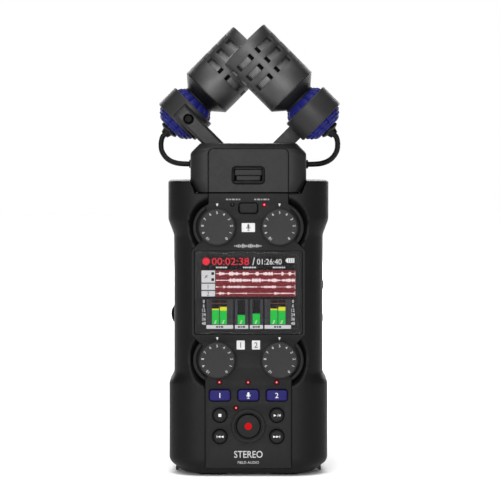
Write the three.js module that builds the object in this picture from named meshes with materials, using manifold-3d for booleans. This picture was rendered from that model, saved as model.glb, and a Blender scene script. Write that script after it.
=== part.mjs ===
// Handheld stereo recorder with a detachable capsule of two crossed, shock-mounted microphones.
// Millimetres, +Z up, front towards -Y, origin on the resting plane under the middle of the body.
import * as THREE from 'three';
import { mergeVertices } from 'three/addons/utils/BufferGeometryUtils.js';
import Module from 'manifold-3d';

const wasm = await Module();
wasm.setup();

// ---------------------------------------------------------------- driving dimensions
const CLEAR = 0.3; // gap between pieces that face each other
const FAR = 60; // reach of a cutting tool past the material

// body form
const SHOULDER_HALF_WIDTH = 34.5;
const WAIST_HALF_WIDTH = 32.05;
const FOOT_HALF_WIDTH = 34.2;
const BODY_HALF_DEPTH = 19.6;
const CORNER_REACH_X = 14.5; // the plan's corners are quarter ellipses
const CORNER_REACH_Y = 11.5;
const BASE_Z = 1.2; // underside between the two rounded pads
const FOOT_TOP_Z = 40;
const WAIST_BOTTOM_Z = 44;
const DECK_Z = 121.5; // floor of the notch that the capsule sits in
const SHOULDER_RISE = 5.3; // shoulders above the deck
const WALL = 2;
const DECK_WALL = 2;
const SPLIT_Y = 5; // plane where the rear shell meets the front shell

// pads under the two input jacks
const JACK_X = 15.6;
const PAD_RADIUS = 29;
const PAD_HALF_CHORD = 9.6;
const PAD_FLAT_HALF = 3.8;
const PAD_HALF_DEPTH = 13.5;

// front panel
const PANEL_RECESS = 0.6; // below the crest of the cheeks
const PANEL_THICK = 2;
const CHANNEL_HALF_WIDTH = 17;
const LOWER_CHANNEL_HALF_WIDTH = 18.5;
const LOWER_CHANNEL_TOP_Z = 46;
const PANEL_BOTTOM_Z = 3.6;

// screen, and the raised plateau of the panel round it
const GLASS_HALF_WIDTH = 23;
const GLASS_BOTTOM_Z = 61.3;
const GLASS_TOP_Z = 96.85;
const PLATEAU_HALF_WIDTH = GLASS_HALF_WIDTH + 1.35;
const PLATEAU_BOTTOM_Z = GLASS_BOTTOM_Z - 3.8;
const PLATEAU_TOP_Z = GLASS_TOP_Z + 3.75;
const PLATEAU_CORNER = 3.6;
const GLASS_THICK = 1.2;
const LCD_THICK = 4;

// gain knobs
const KNOB_RADIUS = 7.75;
const KNOB_HEIGHT = 4.6;
const KNOB_X = 13.3;
const UPPER_KNOB_BELOW_DECK = 14.2;
const LOWER_KNOB_Z = 50.5;
const KNOB_SHAFT_RADIUS = 3;
const KNOB_BEVEL = 0.35;
const GUARD_INNER = KNOB_RADIUS + 1;
const GUARD_OUTER = GUARD_INNER + 1.55;
const GUARD_HEIGHT = 2.4;
const SCOOP_RADIUS = GUARD_OUTER + 2.6;

// buttons
const BUTTON_PROUD = 0.9;
const BUTTON_FLANGE = 0.8;
const BUTTON_FLANGE_THICK = 0.9;
const BUTTON_GAP = 0.45;
const TRACK_BUTTON_X = 12.2;
const TRACK_BUTTON_Z = 35.1;
const TRACK_BUTTON_SIZE = [8.6, 4.5];
const FORMAT_BUTTON_BELOW_DECK = 6.2;
const FORMAT_BUTTON_SIZE = [7.6, 4];
const ROUND_BUTTON_RADIUS = 2.85;
const TRANSPORT_X = 12.2;
const TRANSPORT_UPPER_Z = 26.5;
const TRANSPORT_LOWER_Z = 17.3;
const RECORD_Z = 21.8;
const RECORD_BUTTON_RADIUS = 4.9;
const RECORD_RING_INNER = 5.9;
const RECORD_RING_OUTER = 7.25;
const RECORD_RING_PROUD = 0.8;

const SWITCH_TRAVEL = 0.9; // rest gap between a button's stem and its switch
const SWITCH_DEPTH = 2;
const BUTTON_STEM_RADIUS = 1.2;

// main board
const BOARD_BEHIND_PANEL = 6;
const BOARD_THICK = 1.6;
const BOARD_HALF_WIDTH = 27.5;
const BOARD_BOTTOM_Z = 14.5;
const BOARD_BELOW_DECK = 4.5;
const POT_HALF = 4.8;
const POT_DEPTH = 4.4;
const SWITCH_HALF = 2;

// input jacks and their release tabs
const JACK_BORE_RADIUS = 9.6;
const JACK_SLEEVE_RADIUS = JACK_BORE_RADIUS + 1.2;
const JACK_CORE_RADIUS = JACK_BORE_RADIUS - 2.2;
const JACK_PLUG_RADIUS = 3.4;
const JACK_CORE_RECESS = 0.4;
const JACK_RECESS = 0.9;
const JACK_DEPTH = 12;
const JACK_FLOOR = 1.2;
const TAB_HALF_WIDTH = 4;
const TAB_THICK = 1.2;
const TAB_END_INSET = 2.6; // inside the widest part of the foot
const TAB_LIP = 0.8;
const TAB_Z = 1.3;
const TAB_TRAVEL = 1;

// side controls
const THUMBWHEEL_RADIUS = 6;
const THUMBWHEEL_PROUD = 1.6;
const THUMBWHEEL_Z = 68.7;
const JOG_RADIUS = 5.8;
const JOG_PROUD = 0.8;
const JOG_Z = 81.5;
const WHEEL_THICK = 4;
const WHEEL_AXLE_RADIUS = 1;
const WHEEL_AXLE_LENGTH = 6.4;
const WHEEL_BEVEL = 0.4;
const SLIDER_Z = 82.3;
const SLIDER_HALF_LENGTH = 2.35;
const SLIDER_TRAVEL = 2;
const SLIDER_PROUD = 0.25;
const SLIDER_HALF_WIDTH = 1.4;
const PORT_COVER_BOTTOM_Z = 52;
const PORT_COVER_TOP_Z = 70.4;
const PORT_COVER_THICK = 1.3;
const PORT_COVER_Y = [-6.2, 3];
const USB_Z = 64;
const USB_HALF_LENGTH = 4.6;
const USB_HALF_WIDTH = 1.7;
const USB_LENGTH = 8;
const USB_DEPTH = 6.5;
const USB_WALL = 0.5;
const LINE_JACK_Z = 55;
const LINE_JACK_RADIUS = 3.6;
const LINE_JACK_BORE = 1.8;
const LINE_JACK_SPACE = 2.75; // from its block to the battery tray
const LINE_JACK_BLOCK_WALL = 1;
const LINE_JACK_RECESS = 0.2;
const LINE_JACK_SHOULDER = 1.2; // block behind the round nose, from the wall's inside

// rear
const BATTERY_COVER_HALF_WIDTH = 19;
const BATTERY_COVER_BOTTOM_Z = 36;
const BATTERY_COVER_TOP_Z = 95;
const BATTERY_COVER_THICK = 1.6;
const CELL_RADIUS = 7.2;
const CELL_LENGTH = 50;
const CELL_TIP = 1.2;
const CELL_TIP_RADIUS = 2.7;
const CELL_X = CELL_RADIUS + 0.4;
const TRAY_WALL = 1.2;
const TRIPOD_Z = 24;
const TRIPOD_RADIUS = 5.5;
const TRIPOD_BORE = 3.2;
const TRIPOD_DEPTH = 8;
const SPEAKER_Z = 108;
const SPEAKER_RADIUS = 8.5;
const SPEAKER_DEPTH = 4.5;
const SPEAKER_SLOTS = 5;
const SPEAKER_SLOT = 1.3;
const SPEAKER_MAGNET = 0.6; // magnet's share of the frame's radius

// capsule housing
const CAPSULE_GAP = 0.55; // shadow line over the deck
const CAPSULE_HALF_WIDTH = 24.8;
const CAPSULE_HEIGHT = 20.75;
const CAPSULE_FRONT_INSET = 0.3; // behind the crest of the cheeks
const CAPSULE_BACK_INSET = 1.3;
const CAPSULE_WALL = 2;
const CAPSULE_FRONT_WALL = 3;
const CAPSULE_SEAT = [2.5, 4.75]; // diagonal lower corners: across, up
const CAPSULE_SHOULDER = [4.1, 4.1]; // diagonal upper corners: across, up
const CAPSULE_BROW = [3.1, 2.4]; // bevel along the top edges: in depth, in height
const STRIP_RECESS = 0.9;
const STRIP_TOP = 2.2; // strip ends this far under the top
const LATCH_Z = 7.25; // middle of the latch above the housing's underside
const LATCH_RECESS_HALF = [7.1, 3.95];
const LATCH_HALF = [5.6, 2.2];
const LATCH_RECESS = 1.3;
const LATCH_RECESS_CORNER = 1.9;
const LATCH_PROUD = 0.6;
const LATCH_TONGUE_HALF = 2.5;
const LATCH_TRAVEL = 1.5;
const LATCH_LIP_INSET = 0.6;
const LATCH_FLANGE = 1;
const LATCH_TONGUE_DEPTH = 1;
const LATCH_TONGUE_BOTTOM = 2.7; // under the deck's top face
const BASE_PLATE_THICK = 1.8;
const PLUG_HALF = [7.2, 3.2];
const PLUG_REACH = 7;
const SOCKET_WALL = 1.4;

// microphones: places along the axis are measured from the middle of the mount ring
const MIC_TILT = Math.PI / 4;
const HEAD_RADIUS = 12.1;
const HEAD_WALL = 1.3;
const HEAD_BACK = 13.25;
const HEAD_FRONT = 42.05;
const HEAD_MOUTH_RADIUS = HEAD_RADIUS - 2.8;
const HEAD_BEVEL = 0.5;
const SLOT_ROWS = [[22.95, 25.6], [28.6, 31.4], [34.4, 37.1]];
const SLOT_COUNT = 6;
const SLOT_ANGLE = (47 * Math.PI) / 180;
const SIDE_RIB_ANGLE = (14 * Math.PI) / 180;
const MESH_THICK = 0.5;
const NECK_RADIUS = 7.2;
const NECK_BACK = 8.55;
const STEM_RADIUS = 3.9;
const STEM_BACK = -9.2;
const ELEMENT_RADIUS = HEAD_RADIUS - 3.6;
const ELEMENT_SPAN = [29, 37];
const ELEMENT_STALK_RADIUS = 2.5;
const RING_RADIUS = 11.25;
const RING_HALF_LENGTH = 5.05;
const RING_WALL = 1.5;
const RING_PAD_LENGTH = 3.5; // past the screw's axis
const RING_PAD_INSET = 0.5;
const MOUNT_RADIUS = RING_RADIUS - RING_WALL - 0.05;
const MOUNT_FRONT_RADIUS = 7;
const MOUNT_BACK_RADIUS = 6;
const RING_X = 27.8; // ring centre from the middle of the body
const RING_ABOVE_CAPSULE = 12.8;
const BOOT_STEP = [[4.2, -9.55], [4.2, -10.3], [2.9, -10.9], [2.4, -11], [1.8, -12.9]];
const ARM_HALF_WIDTH = 3.45;
const ARM_SHIFT = -0.3; // the arm's middle from the ring's middle
const ARM_THICK = 4.7;
const ARM_CHAMFER = 0.9;
const ARM_END = 2.5; // past the ring's axis
const ARM_LENGTH = 24.5;
const SCREW_X = 3;
const SCREW_HEAD_RADIUS = 2.1;
const SCREW_HEAD_DEPTH = 2;
const SCREW_SHANK_RADIUS = 1.25;
const SCREW_HEX_RADIUS = 1.1;
const SCREW_HEX_DEPTH = 1.4;
const SCREW_RECESS = 0.2;
const LEAD_RADIUS = 1.05;
const LEAD_SIDES = 8;
const LEAD_STEPS = 18;

// route of the left lead, from the boot to the housing's side, relative to the ring centre
const LEAD_ROUTE = [
  [-9.45, 0, -9.45],
  [-9.85, -0.05, -9.95],
  [-10.3, -0.5, -11.2],
  [-10.55, -1.2, -13.2],
  [-10.2, -2.4, -16],
  [-8.6, -3.6, -18.7],
  [-6.3, -4.7, -20.5],
  [-3.3, -5.9, -21.5],
  [0.2, -6.8, -21.8],
  [3.4, -7.2, -21.8],
  [6, -7.2, -21.8],
];

// ---------------------------------------------------------------- derived places
const FRONT_Y = -BODY_HALF_DEPTH;
const BACK_Y = BODY_HALF_DEPTH;
const PANEL_Y = FRONT_Y + PANEL_RECESS;
const PANEL_BACK_Y = PANEL_Y + PANEL_THICK;
const SHOULDER_Z = DECK_Z + SHOULDER_RISE;
const UPPER_KNOB_Z = DECK_Z - UPPER_KNOB_BELOW_DECK;
const FORMAT_BUTTON_Z = DECK_Z - FORMAT_BUTTON_BELOW_DECK;
const BOARD_Y = PANEL_BACK_Y + BOARD_BEHIND_PANEL;
const BOARD_TOP_Z = DECK_Z - BOARD_BELOW_DECK;
const BUTTON_FLANGE_BACK_Y = PANEL_BACK_Y + CLEAR + BUTTON_FLANGE_THICK;
const CAPSULE_Z = DECK_Z + CAPSULE_GAP;
const CAPSULE_TOP_Z = CAPSULE_Z + CAPSULE_HEIGHT;
const CAPSULE_FRONT_Y = FRONT_Y + CAPSULE_FRONT_INSET;
const CAPSULE_BACK_Y = BACK_Y - CAPSULE_BACK_INSET;
const STRIP_Y = CAPSULE_FRONT_Y + STRIP_RECESS;
const HEAD_Y = HEAD_RADIUS + CLEAR / 2; // the two heads cross with one clearance between them
const RING_CENTRE = new THREE.Vector3(-RING_X, HEAD_Y, CAPSULE_TOP_Z + RING_ABOVE_CAPSULE);
const ARM_BACK_Y = -RING_RADIUS - 2 * CLEAR;
const ARM_FRONT_Y = ARM_BACK_Y - ARM_THICK;
const RING_PAD_Y = ARM_BACK_Y + CLEAR;

// half width of the body and its share of the full depth, at each height where the form turns
const BODY_FORM = [
  [BASE_Z, FOOT_HALF_WIDTH - 6, 0.9],
  [BASE_Z + 1.8, FOOT_HALF_WIDTH - 3.6, 0.95],
  [BASE_Z + 3.9, FOOT_HALF_WIDTH - 0.8, 0.985],
  [BASE_Z + 5.7, FOOT_HALF_WIDTH, 1],
  [FOOT_TOP_Z, FOOT_HALF_WIDTH, 1],
  [WAIST_BOTTOM_Z, WAIST_HALF_WIDTH, 1],
  [DECK_Z - 17.9, WAIST_HALF_WIDTH, 1],
  [DECK_Z - 11.4, SHOULDER_HALF_WIDTH, 1],
  [SHOULDER_Z, SHOULDER_HALF_WIDTH, 1],
];

// ---------------------------------------------------------------- solids
function solid(form) {
  if (!form.isBufferGeometry) return form;
  const bare = form.clone();
  bare.deleteAttribute('normal');
  bare.deleteAttribute('uv');
  const merged = mergeVertices(bare, 1e-4);
  return new wasm.Manifold(new wasm.Mesh({
    numProp: 3,
    vertProperties: Float32Array.from(merged.attributes.position.array),
    triVerts: Uint32Array.from(merged.index.array),
  }));
}

function geometryOf(manifold) {
  const mesh = manifold.getMesh();
  const geometry = new THREE.BufferGeometry();
  geometry.setAttribute('position', new THREE.BufferAttribute(mesh.vertProperties, 3));
  geometry.setIndex(new THREE.BufferAttribute(mesh.triVerts, 1));
  geometry.computeVertexNormals();
  return geometry;
}

const join = (...parts) => parts.map(solid).reduce((sum, part) => sum.add(part));
const cut = (base, ...tools) => tools.map(solid).reduce((rest, tool) => rest.subtract(tool), base);
const keep = (base, ...tools) => tools.map(solid).reduce((rest, tool) => rest.intersect(tool), base);

function box(x0, x1, y0, y1, z0, z1) {
  const geometry = new THREE.BoxGeometry(x1 - x0, y1 - y0, z1 - z0);
  return geometry.translate((x0 + x1) / 2, (y0 + y1) / 2, (z0 + z1) / 2);
}

// rod along Y between two depths
function rodY(radius, y0, y1, x, z, sides = 24) {
  const geometry = new THREE.CylinderGeometry(radius, radius, y1 - y0, sides);
  return geometry.translate(x, (y0 + y1) / 2, z);
}

// rod along Z between two heights
function rodZ(radius, z0, z1, x, y, sides = 24) {
  const geometry = new THREE.CylinderGeometry(radius, radius, z1 - z0, sides);
  return geometry.rotateX(Math.PI / 2).translate(x, y, (z0 + z1) / 2);
}

// rod along X between two places
function rodX(radius, x0, x1, y, z, sides = 24) {
  const geometry = new THREE.CylinderGeometry(radius, radius, x1 - x0, sides);
  return geometry.rotateZ(Math.PI / 2).translate((x0 + x1) / 2, y, z);
}

// turned piece: [radius, place] pairs along the local Z axis, in either direction
function turned(profile, sides = 24) {
  const points = profile.map(([radius, place]) => new THREE.Vector2(radius, place));
  if (THREE.ShapeUtils.area(points) < 0) points.reverse();
  return new THREE.LatheGeometry(points, sides).rotateX(Math.PI / 2);
}

// plate whose outline is drawn looking from the front, from y0 back to y1
function plate(shape, y0, y1, curveSegments = 5) {
  const options = { depth: y1 - y0, bevelEnabled: false, curveSegments };
  return new THREE.ExtrudeGeometry(shape, options).rotateX(Math.PI / 2).translate(0, y1, 0);
}

function polygon(points) {
  return new THREE.Shape(points.map(([x, z]) => new THREE.Vector2(x, z)));
}

function roundedBox(x, z, halfWidth, halfHeight, radius) {
  const shape = new THREE.Shape();
  shape.absarc(x + halfWidth - radius, z - halfHeight + radius, radius, -Math.PI / 2, 0);
  shape.absarc(x + halfWidth - radius, z + halfHeight - radius, radius, 0, Math.PI / 2);
  shape.absarc(x - halfWidth + radius, z + halfHeight - radius, radius, Math.PI / 2, Math.PI);
  shape.absarc(x - halfWidth + radius, z - halfHeight + radius, radius, Math.PI, 1.5 * Math.PI);
  return shape;
}

// ---------------------------------------------------------------- materials
function material(colour, roughness, metalness = 0) {
  return new THREE.MeshStandardMaterial({ color: colour, roughness, metalness });
}

const finish = {
  shell: () => material(0x262626, 0.6),
  panel: () => material(0x383838, 0.65),
  control: () => material(0x3f3f3f, 0.55),
  black: () => material(0x0c0c0c, 0.5),
  glass: () => material(0x101214, 0.08),
  screen: () => material(0x5a1d20, 0.4),
  trackButton: () => material(0x2c2870, 0.5),
  blueRubber: () => material(0x27308c, 0.6),
  headMetal: () => material(0x4a4a4a, 0.4, 0.7),
  mesh: () => material(0x8c8c8c, 0.45, 0.8),
  ring: () => material(0x3a3a38, 0.5),
  steel: () => material(0x9a9a9a, 0.3, 1),
  brass: () => material(0xb08a4a, 0.35, 1),
  board: () => material(0x1d4a30, 0.6),
  cell: () => material(0x8a8f96, 0.4, 0.6),
};

function add(group, name, form, look) {
  const geometry = form.isBufferGeometry ? form : geometryOf(form);
  const mesh = new THREE.Mesh(geometry, look());
  mesh.name = name;
  group.add(mesh);
  return mesh;
}

// ---------------------------------------------------------------- body form
function formAt(z) {
  const above = BODY_FORM.findIndex(([level]) => level >= z);
  const upper = BODY_FORM[above < 0 ? BODY_FORM.length - 1 : above];
  const lower = BODY_FORM[Math.max(0, BODY_FORM.indexOf(upper) - 1)];
  const share = upper === lower ? 0 : (z - lower[0]) / (upper[0] - lower[0]);
  return {
    halfWidth: THREE.MathUtils.lerp(lower[1], upper[1], share),
    depthShare: THREE.MathUtils.lerp(lower[2], upper[2], share),
  };
}

// plan of the body at the shoulders, moved in by an inset all round
function planShape(inset) {
  const halfWidth = SHOULDER_HALF_WIDTH - inset;
  const halfDepth = BODY_HALF_DEPTH - inset;
  const reachX = CORNER_REACH_X - inset;
  const reachY = CORNER_REACH_Y - inset;
  const shape = new THREE.Shape();
  const corners = [[1, -1, -0.5], [1, 1, 0], [-1, 1, 0.5], [-1, -1, 1]];
  for (const [sideX, sideY, start] of corners) {
    const x = sideX * (halfWidth - reachX);
    const y = sideY * (halfDepth - reachY);
    shape.absellipse(x, y, reachX, reachY, start * Math.PI, (start + 0.5) * Math.PI);
  }
  return shape;
}

// the body's form between two heights: the plan drawn up through every level where the form turns
function bodyForm(inset, bottom, top) {
  const turns = BODY_FORM.map(([level]) => level).filter((level) => level > bottom && level < top);
  const levels = [bottom, ...turns, top];
  const steps = levels.length - 1;
  const geometry = new THREE.ExtrudeGeometry(planShape(inset), {
    depth: steps,
    steps,
    bevelEnabled: false,
    curveSegments: 4,
  });
  const position = geometry.attributes.position;
  for (let i = 0; i < position.count; i += 1) {
    const z = levels[Math.round(position.getZ(i))];
    const { halfWidth, depthShare } = formAt(z);
    const widthShare = (halfWidth - inset) / (SHOULDER_HALF_WIDTH - inset);
    position.setXYZ(i, position.getX(i) * widthShare, position.getY(i) * depthShare, z);
  }
  return geometry;
}

function padForm(side) {
  const centreZ = Math.sqrt(PAD_RADIUS ** 2 - PAD_FLAT_HALF ** 2);
  const flatAngle = Math.asin(PAD_FLAT_HALF / PAD_RADIUS);
  const endAngle = Math.asin(PAD_HALF_CHORD / PAD_RADIUS);
  const down = -Math.PI / 2;
  const shape = new THREE.Shape();
  shape.absarc(0, centreZ, PAD_RADIUS, down - endAngle, down - flatAngle);
  shape.absarc(0, centreZ, PAD_RADIUS, down + flatAngle, down + endAngle);
  shape.lineTo(PAD_HALF_CHORD, BASE_Z + WALL);
  shape.lineTo(-PAD_HALF_CHORD, BASE_Z + WALL);
  return plate(shape, -PAD_HALF_DEPTH, PAD_HALF_DEPTH, 3).translate(side * JACK_X, 0, 0);
}

// notch that the capsule drops into, with its diagonal corners
function capsuleNotch() {
  const low = CAPSULE_HALF_WIDTH - CAPSULE_SEAT[0] + CLEAR;
  const high = CAPSULE_HALF_WIDTH + CLEAR;
  const shape = polygon([
    [-low, DECK_Z],
    [low, DECK_Z],
    [high, CAPSULE_Z + CAPSULE_SEAT[1]],
    [high, DECK_Z + FAR],
    [-high, DECK_Z + FAR],
    [-high, CAPSULE_Z + CAPSULE_SEAT[1]],
  ]);
  return plate(shape, -FAR, FAR);
}

// ---------------------------------------------------------------- front panel
const KNOBS = [
  { name: 'knob_upper_left', side: -1, z: UPPER_KNOB_Z, guard: [121, 222] },
  { name: 'knob_upper_right', side: 1, z: UPPER_KNOB_Z, guard: [121, 222] },
  { name: 'knob_lower_left', side: -1, z: LOWER_KNOB_Z, guard: [136, 238] },
  { name: 'knob_lower_right', side: 1, z: LOWER_KNOB_Z, guard: [136, 238] },
];

function panelForm(grow, y0, y1) {
  const plateau = polygon([
    [-PLATEAU_HALF_WIDTH + PLATEAU_CORNER, PLATEAU_BOTTOM_Z - grow],
    [PLATEAU_HALF_WIDTH - PLATEAU_CORNER, PLATEAU_BOTTOM_Z - grow],
    [PLATEAU_HALF_WIDTH + grow, PLATEAU_BOTTOM_Z + PLATEAU_CORNER],
    [PLATEAU_HALF_WIDTH + grow, PLATEAU_TOP_Z - PLATEAU_CORNER],
    [PLATEAU_HALF_WIDTH - PLATEAU_CORNER, PLATEAU_TOP_Z + grow],
    [-PLATEAU_HALF_WIDTH + PLATEAU_CORNER, PLATEAU_TOP_Z + grow],
    [-PLATEAU_HALF_WIDTH - grow, PLATEAU_TOP_Z - PLATEAU_CORNER],
    [-PLATEAU_HALF_WIDTH - grow, PLATEAU_BOTTOM_Z + PLATEAU_CORNER],
  ]);
  const channel = CHANNEL_HALF_WIDTH + grow;
  const lowerChannel = LOWER_CHANNEL_HALF_WIDTH + grow;
  const middleZ = (PLATEAU_BOTTOM_Z + PLATEAU_TOP_Z) / 2;
  return join(
    plate(plateau, y0, y1),
    box(-channel, channel, y0, y1, middleZ, DECK_Z + grow),
    box(-lowerChannel, lowerChannel, y0, y1, PANEL_BOTTOM_Z - grow, LOWER_CHANNEL_TOP_Z),
    box(-channel, channel, y0, y1, LOWER_CHANNEL_TOP_Z - 1, middleZ),
    ...KNOBS.map(({ side, z }) => rodY(GUARD_OUTER + grow, y0, y1, side * KNOB_X, z)),
  );
}

// low wall that runs round the outer side of a knob
function guardForm({ side, z, guard }) {
  const angles = side < 0 ? guard : [180 - guard[1], 180 - guard[0]];
  const [start, end] = angles.map(THREE.MathUtils.degToRad);
  const shape = new THREE.Shape();
  shape.absarc(0, 0, GUARD_OUTER, start, end);
  shape.absarc(0, 0, GUARD_INNER, end, start, true);
  const form = plate(shape, PANEL_Y - GUARD_HEIGHT, PANEL_Y + PANEL_THICK / 2, 3);
  return form.translate(side * KNOB_X, 0, z);
}

// conical hollow in the cheeks round a knob
function scoopForm({ side, z }) {
  const mouth = [SCOOP_RADIUS, FRONT_Y - CLEAR];
  const floor = [GUARD_OUTER + CLEAR, PANEL_BACK_Y];
  const geometry = new THREE.CylinderGeometry(floor[0], mouth[0], floor[1] - mouth[1], 24);
  return geometry.translate(side * KNOB_X, (mouth[1] + floor[1]) / 2, z);
}

// ---------------------------------------------------------------- buttons on the panel
const rectButton = (name, x, z, [width, height], look) => ({
  name, x, z, look, segments: 1,
  outline: (grow) => roundedBox(x, z, width / 2 + grow, height / 2 + grow, 1 + Math.max(grow, 0)),
});

const roundButton = (name, x, z, radius) => ({
  name, x, z, look: finish.control, segments: 9,
  outline: (grow) => new THREE.Shape().absarc(x, z, radius + grow, 0, 2 * Math.PI),
});

const BUTTONS = [
  rectButton('format_button', 0, FORMAT_BUTTON_Z, FORMAT_BUTTON_SIZE, finish.control),
  rectButton('track_button_1', -TRACK_BUTTON_X, TRACK_BUTTON_Z, TRACK_BUTTON_SIZE, finish.trackButton),
  rectButton('track_button_mic', 0, TRACK_BUTTON_Z, TRACK_BUTTON_SIZE, finish.trackButton),
  rectButton('track_button_2', TRACK_BUTTON_X, TRACK_BUTTON_Z, TRACK_BUTTON_SIZE, finish.trackButton),
  roundButton('stop_button', -TRANSPORT_X, TRANSPORT_UPPER_Z, ROUND_BUTTON_RADIUS),
  roundButton('play_button', TRANSPORT_X, TRANSPORT_UPPER_Z, ROUND_BUTTON_RADIUS),
  roundButton('rewind_button', -TRANSPORT_X, TRANSPORT_LOWER_Z, ROUND_BUTTON_RADIUS),
  roundButton('forward_button', TRANSPORT_X, TRANSPORT_LOWER_Z, ROUND_BUTTON_RADIUS),
  roundButton('record_button', 0, RECORD_Z, RECORD_BUTTON_RADIUS),
];

function buttonForm({ x, z, outline, segments }) {
  const stemEnd = BOARD_Y - SWITCH_DEPTH - SWITCH_TRAVEL;
  return join(
    plate(outline(0), PANEL_Y - BUTTON_PROUD, BUTTON_FLANGE_BACK_Y, segments),
    plate(outline(BUTTON_FLANGE), PANEL_BACK_Y + CLEAR, BUTTON_FLANGE_BACK_Y, segments),
    rodY(BUTTON_STEM_RADIUS, PANEL_BACK_Y + CLEAR, stemEnd, x, z, 8),
  );
}

// ---------------------------------------------------------------- pieces of the body
const SOCKET_HALF = PLUG_HALF.map((half) => half + CLEAR + SOCKET_WALL);
const SLIDER_REACH = SLIDER_HALF_LENGTH + SLIDER_TRAVEL + CLEAR;
const THUMBWHEEL_X = -(WAIST_HALF_WIDTH + THUMBWHEEL_PROUD - THUMBWHEEL_RADIUS);
const JOG_X = WAIST_HALF_WIDTH + JOG_PROUD - JOG_RADIUS;
const WALL_INSIDE_X = WAIST_HALF_WIDTH - WALL;
const TONGUE_Y = STRIP_Y + CAPSULE_FRONT_WALL;
const TRAY_FLOOR_Y = BACK_Y - BATTERY_COVER_THICK - 2 * CLEAR - 2 * CELL_RADIUS - 2 * CLEAR;
const TRAY_HALF_WIDTH = CELL_X + CELL_RADIUS + CLEAR + TRAY_WALL;
const CELL_MIDDLE_Z = (BATTERY_COVER_BOTTOM_Z + BATTERY_COVER_TOP_Z) / 2;
const CELL_Y = TRAY_FLOOR_Y + CELL_RADIUS + CLEAR;

function frontPanel() {
  const depth = [PANEL_Y - GUARD_HEIGHT - 1, PANEL_BACK_Y + CLEAR];
  const middleZ = (GLASS_BOTTOM_Z + GLASS_TOP_Z) / 2;
  const halfHeight = (GLASS_TOP_Z - GLASS_BOTTOM_Z) / 2;
  const window = roundedBox(0, middleZ, GLASS_HALF_WIDTH + CLEAR, halfHeight + CLEAR, 1);
  return cut(
    panelForm(0, PANEL_Y, PANEL_BACK_Y).add(join(...KNOBS.map(guardForm))),
    plate(window, ...depth, 3),
    ...KNOBS.map(({ side, z }) => rodY(KNOB_SHAFT_RADIUS + CLEAR, ...depth, side * KNOB_X, z, 20)),
    ...BUTTONS.map(({ outline, segments }) => plate(outline(BUTTON_GAP), ...depth, segments)),
  );
}

function shellBlank() {
  const jackHoles = [-1, 1].map((side) => (
    rodZ(JACK_SLEEVE_RADIUS + CLEAR, -1, BASE_Z + 2 * WALL, side * JACK_X, 0)));
  return cut(
    join(bodyForm(0, BASE_Z, SHOULDER_Z), padForm(-1), padForm(1)),
    bodyForm(WALL, BASE_Z + WALL, DECK_Z - DECK_WALL),
    capsuleNotch(),
    ...jackHoles,
  );
}

// slot through one side wall of the waist
function sideSlot(side, depth, halfWidth, z0, z1) {
  const places = [side * (WAIST_HALF_WIDTH - depth), side * FAR];
  return box(Math.min(...places), Math.max(...places), -halfWidth, halfWidth, z0, z1);
}

// notch in the body's lower edge that a release tab slides in
function tabSlot(side) {
  const places = [side * (JACK_X + JACK_SLEEVE_RADIUS), side * FAR];
  return box(Math.min(...places), Math.max(...places), -TAB_HALF_WIDTH - CLEAR, TAB_HALF_WIDTH + CLEAR,
    -1, TAB_Z + TAB_THICK + CLEAR);
}

// half length of the opening that a side wheel needs at the inside of the wall
const wheelReach = (radius, proud) => (
  Math.sqrt(radius ** 2 - (radius - proud - WALL) ** 2) + 2 * CLEAR);

function frontShell(blank) {
  const throughWall = WALL + 1;
  const wheelHalf = WHEEL_THICK / 2 + CLEAR;
  const thumbReach = wheelReach(THUMBWHEEL_RADIUS, THUMBWHEEL_PROUD);
  const jogReach = wheelReach(JOG_RADIUS, JOG_PROUD);
  const deckCut = [DECK_Z - DECK_WALL - 1, DECK_Z + 1];
  const tongueHalf = LATCH_TONGUE_HALF + CLEAR;
  return cut(
    blank,
    box(-FAR, FAR, SPLIT_Y, FAR, -FAR, 4 * FAR),
    panelForm(CLEAR, -FAR, PANEL_BACK_Y + CLEAR),
    ...KNOBS.map(scoopForm),
    box(-SOCKET_HALF[0] - CLEAR, SOCKET_HALF[0] + CLEAR, -SOCKET_HALF[1] - CLEAR, FAR, ...deckCut),
    box(-tongueHalf, tongueHalf, PANEL_BACK_Y, TONGUE_Y + LATCH_TRAVEL + 2, ...deckCut),
    sideSlot(-1, throughWall, wheelHalf, THUMBWHEEL_Z - thumbReach, THUMBWHEEL_Z + thumbReach),
    sideSlot(1, throughWall, wheelHalf, JOG_Z - jogReach, JOG_Z + jogReach),
    sideSlot(-1, throughWall, SLIDER_HALF_WIDTH + CLEAR, SLIDER_Z - SLIDER_REACH, SLIDER_Z + SLIDER_REACH),
    box(WAIST_HALF_WIDTH - PORT_COVER_THICK - CLEAR, FAR, PORT_COVER_Y[0] - CLEAR,
      PORT_COVER_Y[1] + CLEAR, PORT_COVER_BOTTOM_Z - CLEAR, PORT_COVER_TOP_Z + CLEAR),
    sideSlot(1, throughWall, USB_HALF_WIDTH + CLEAR,
      USB_Z - USB_HALF_LENGTH - CLEAR, USB_Z + USB_HALF_LENGTH + CLEAR),
    rodX(LINE_JACK_RADIUS + CLEAR, -FAR, -WALL_INSIDE_X + 1, 0, LINE_JACK_Z),
    ...[-1, 1].map(tabSlot),
  );
}

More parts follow.
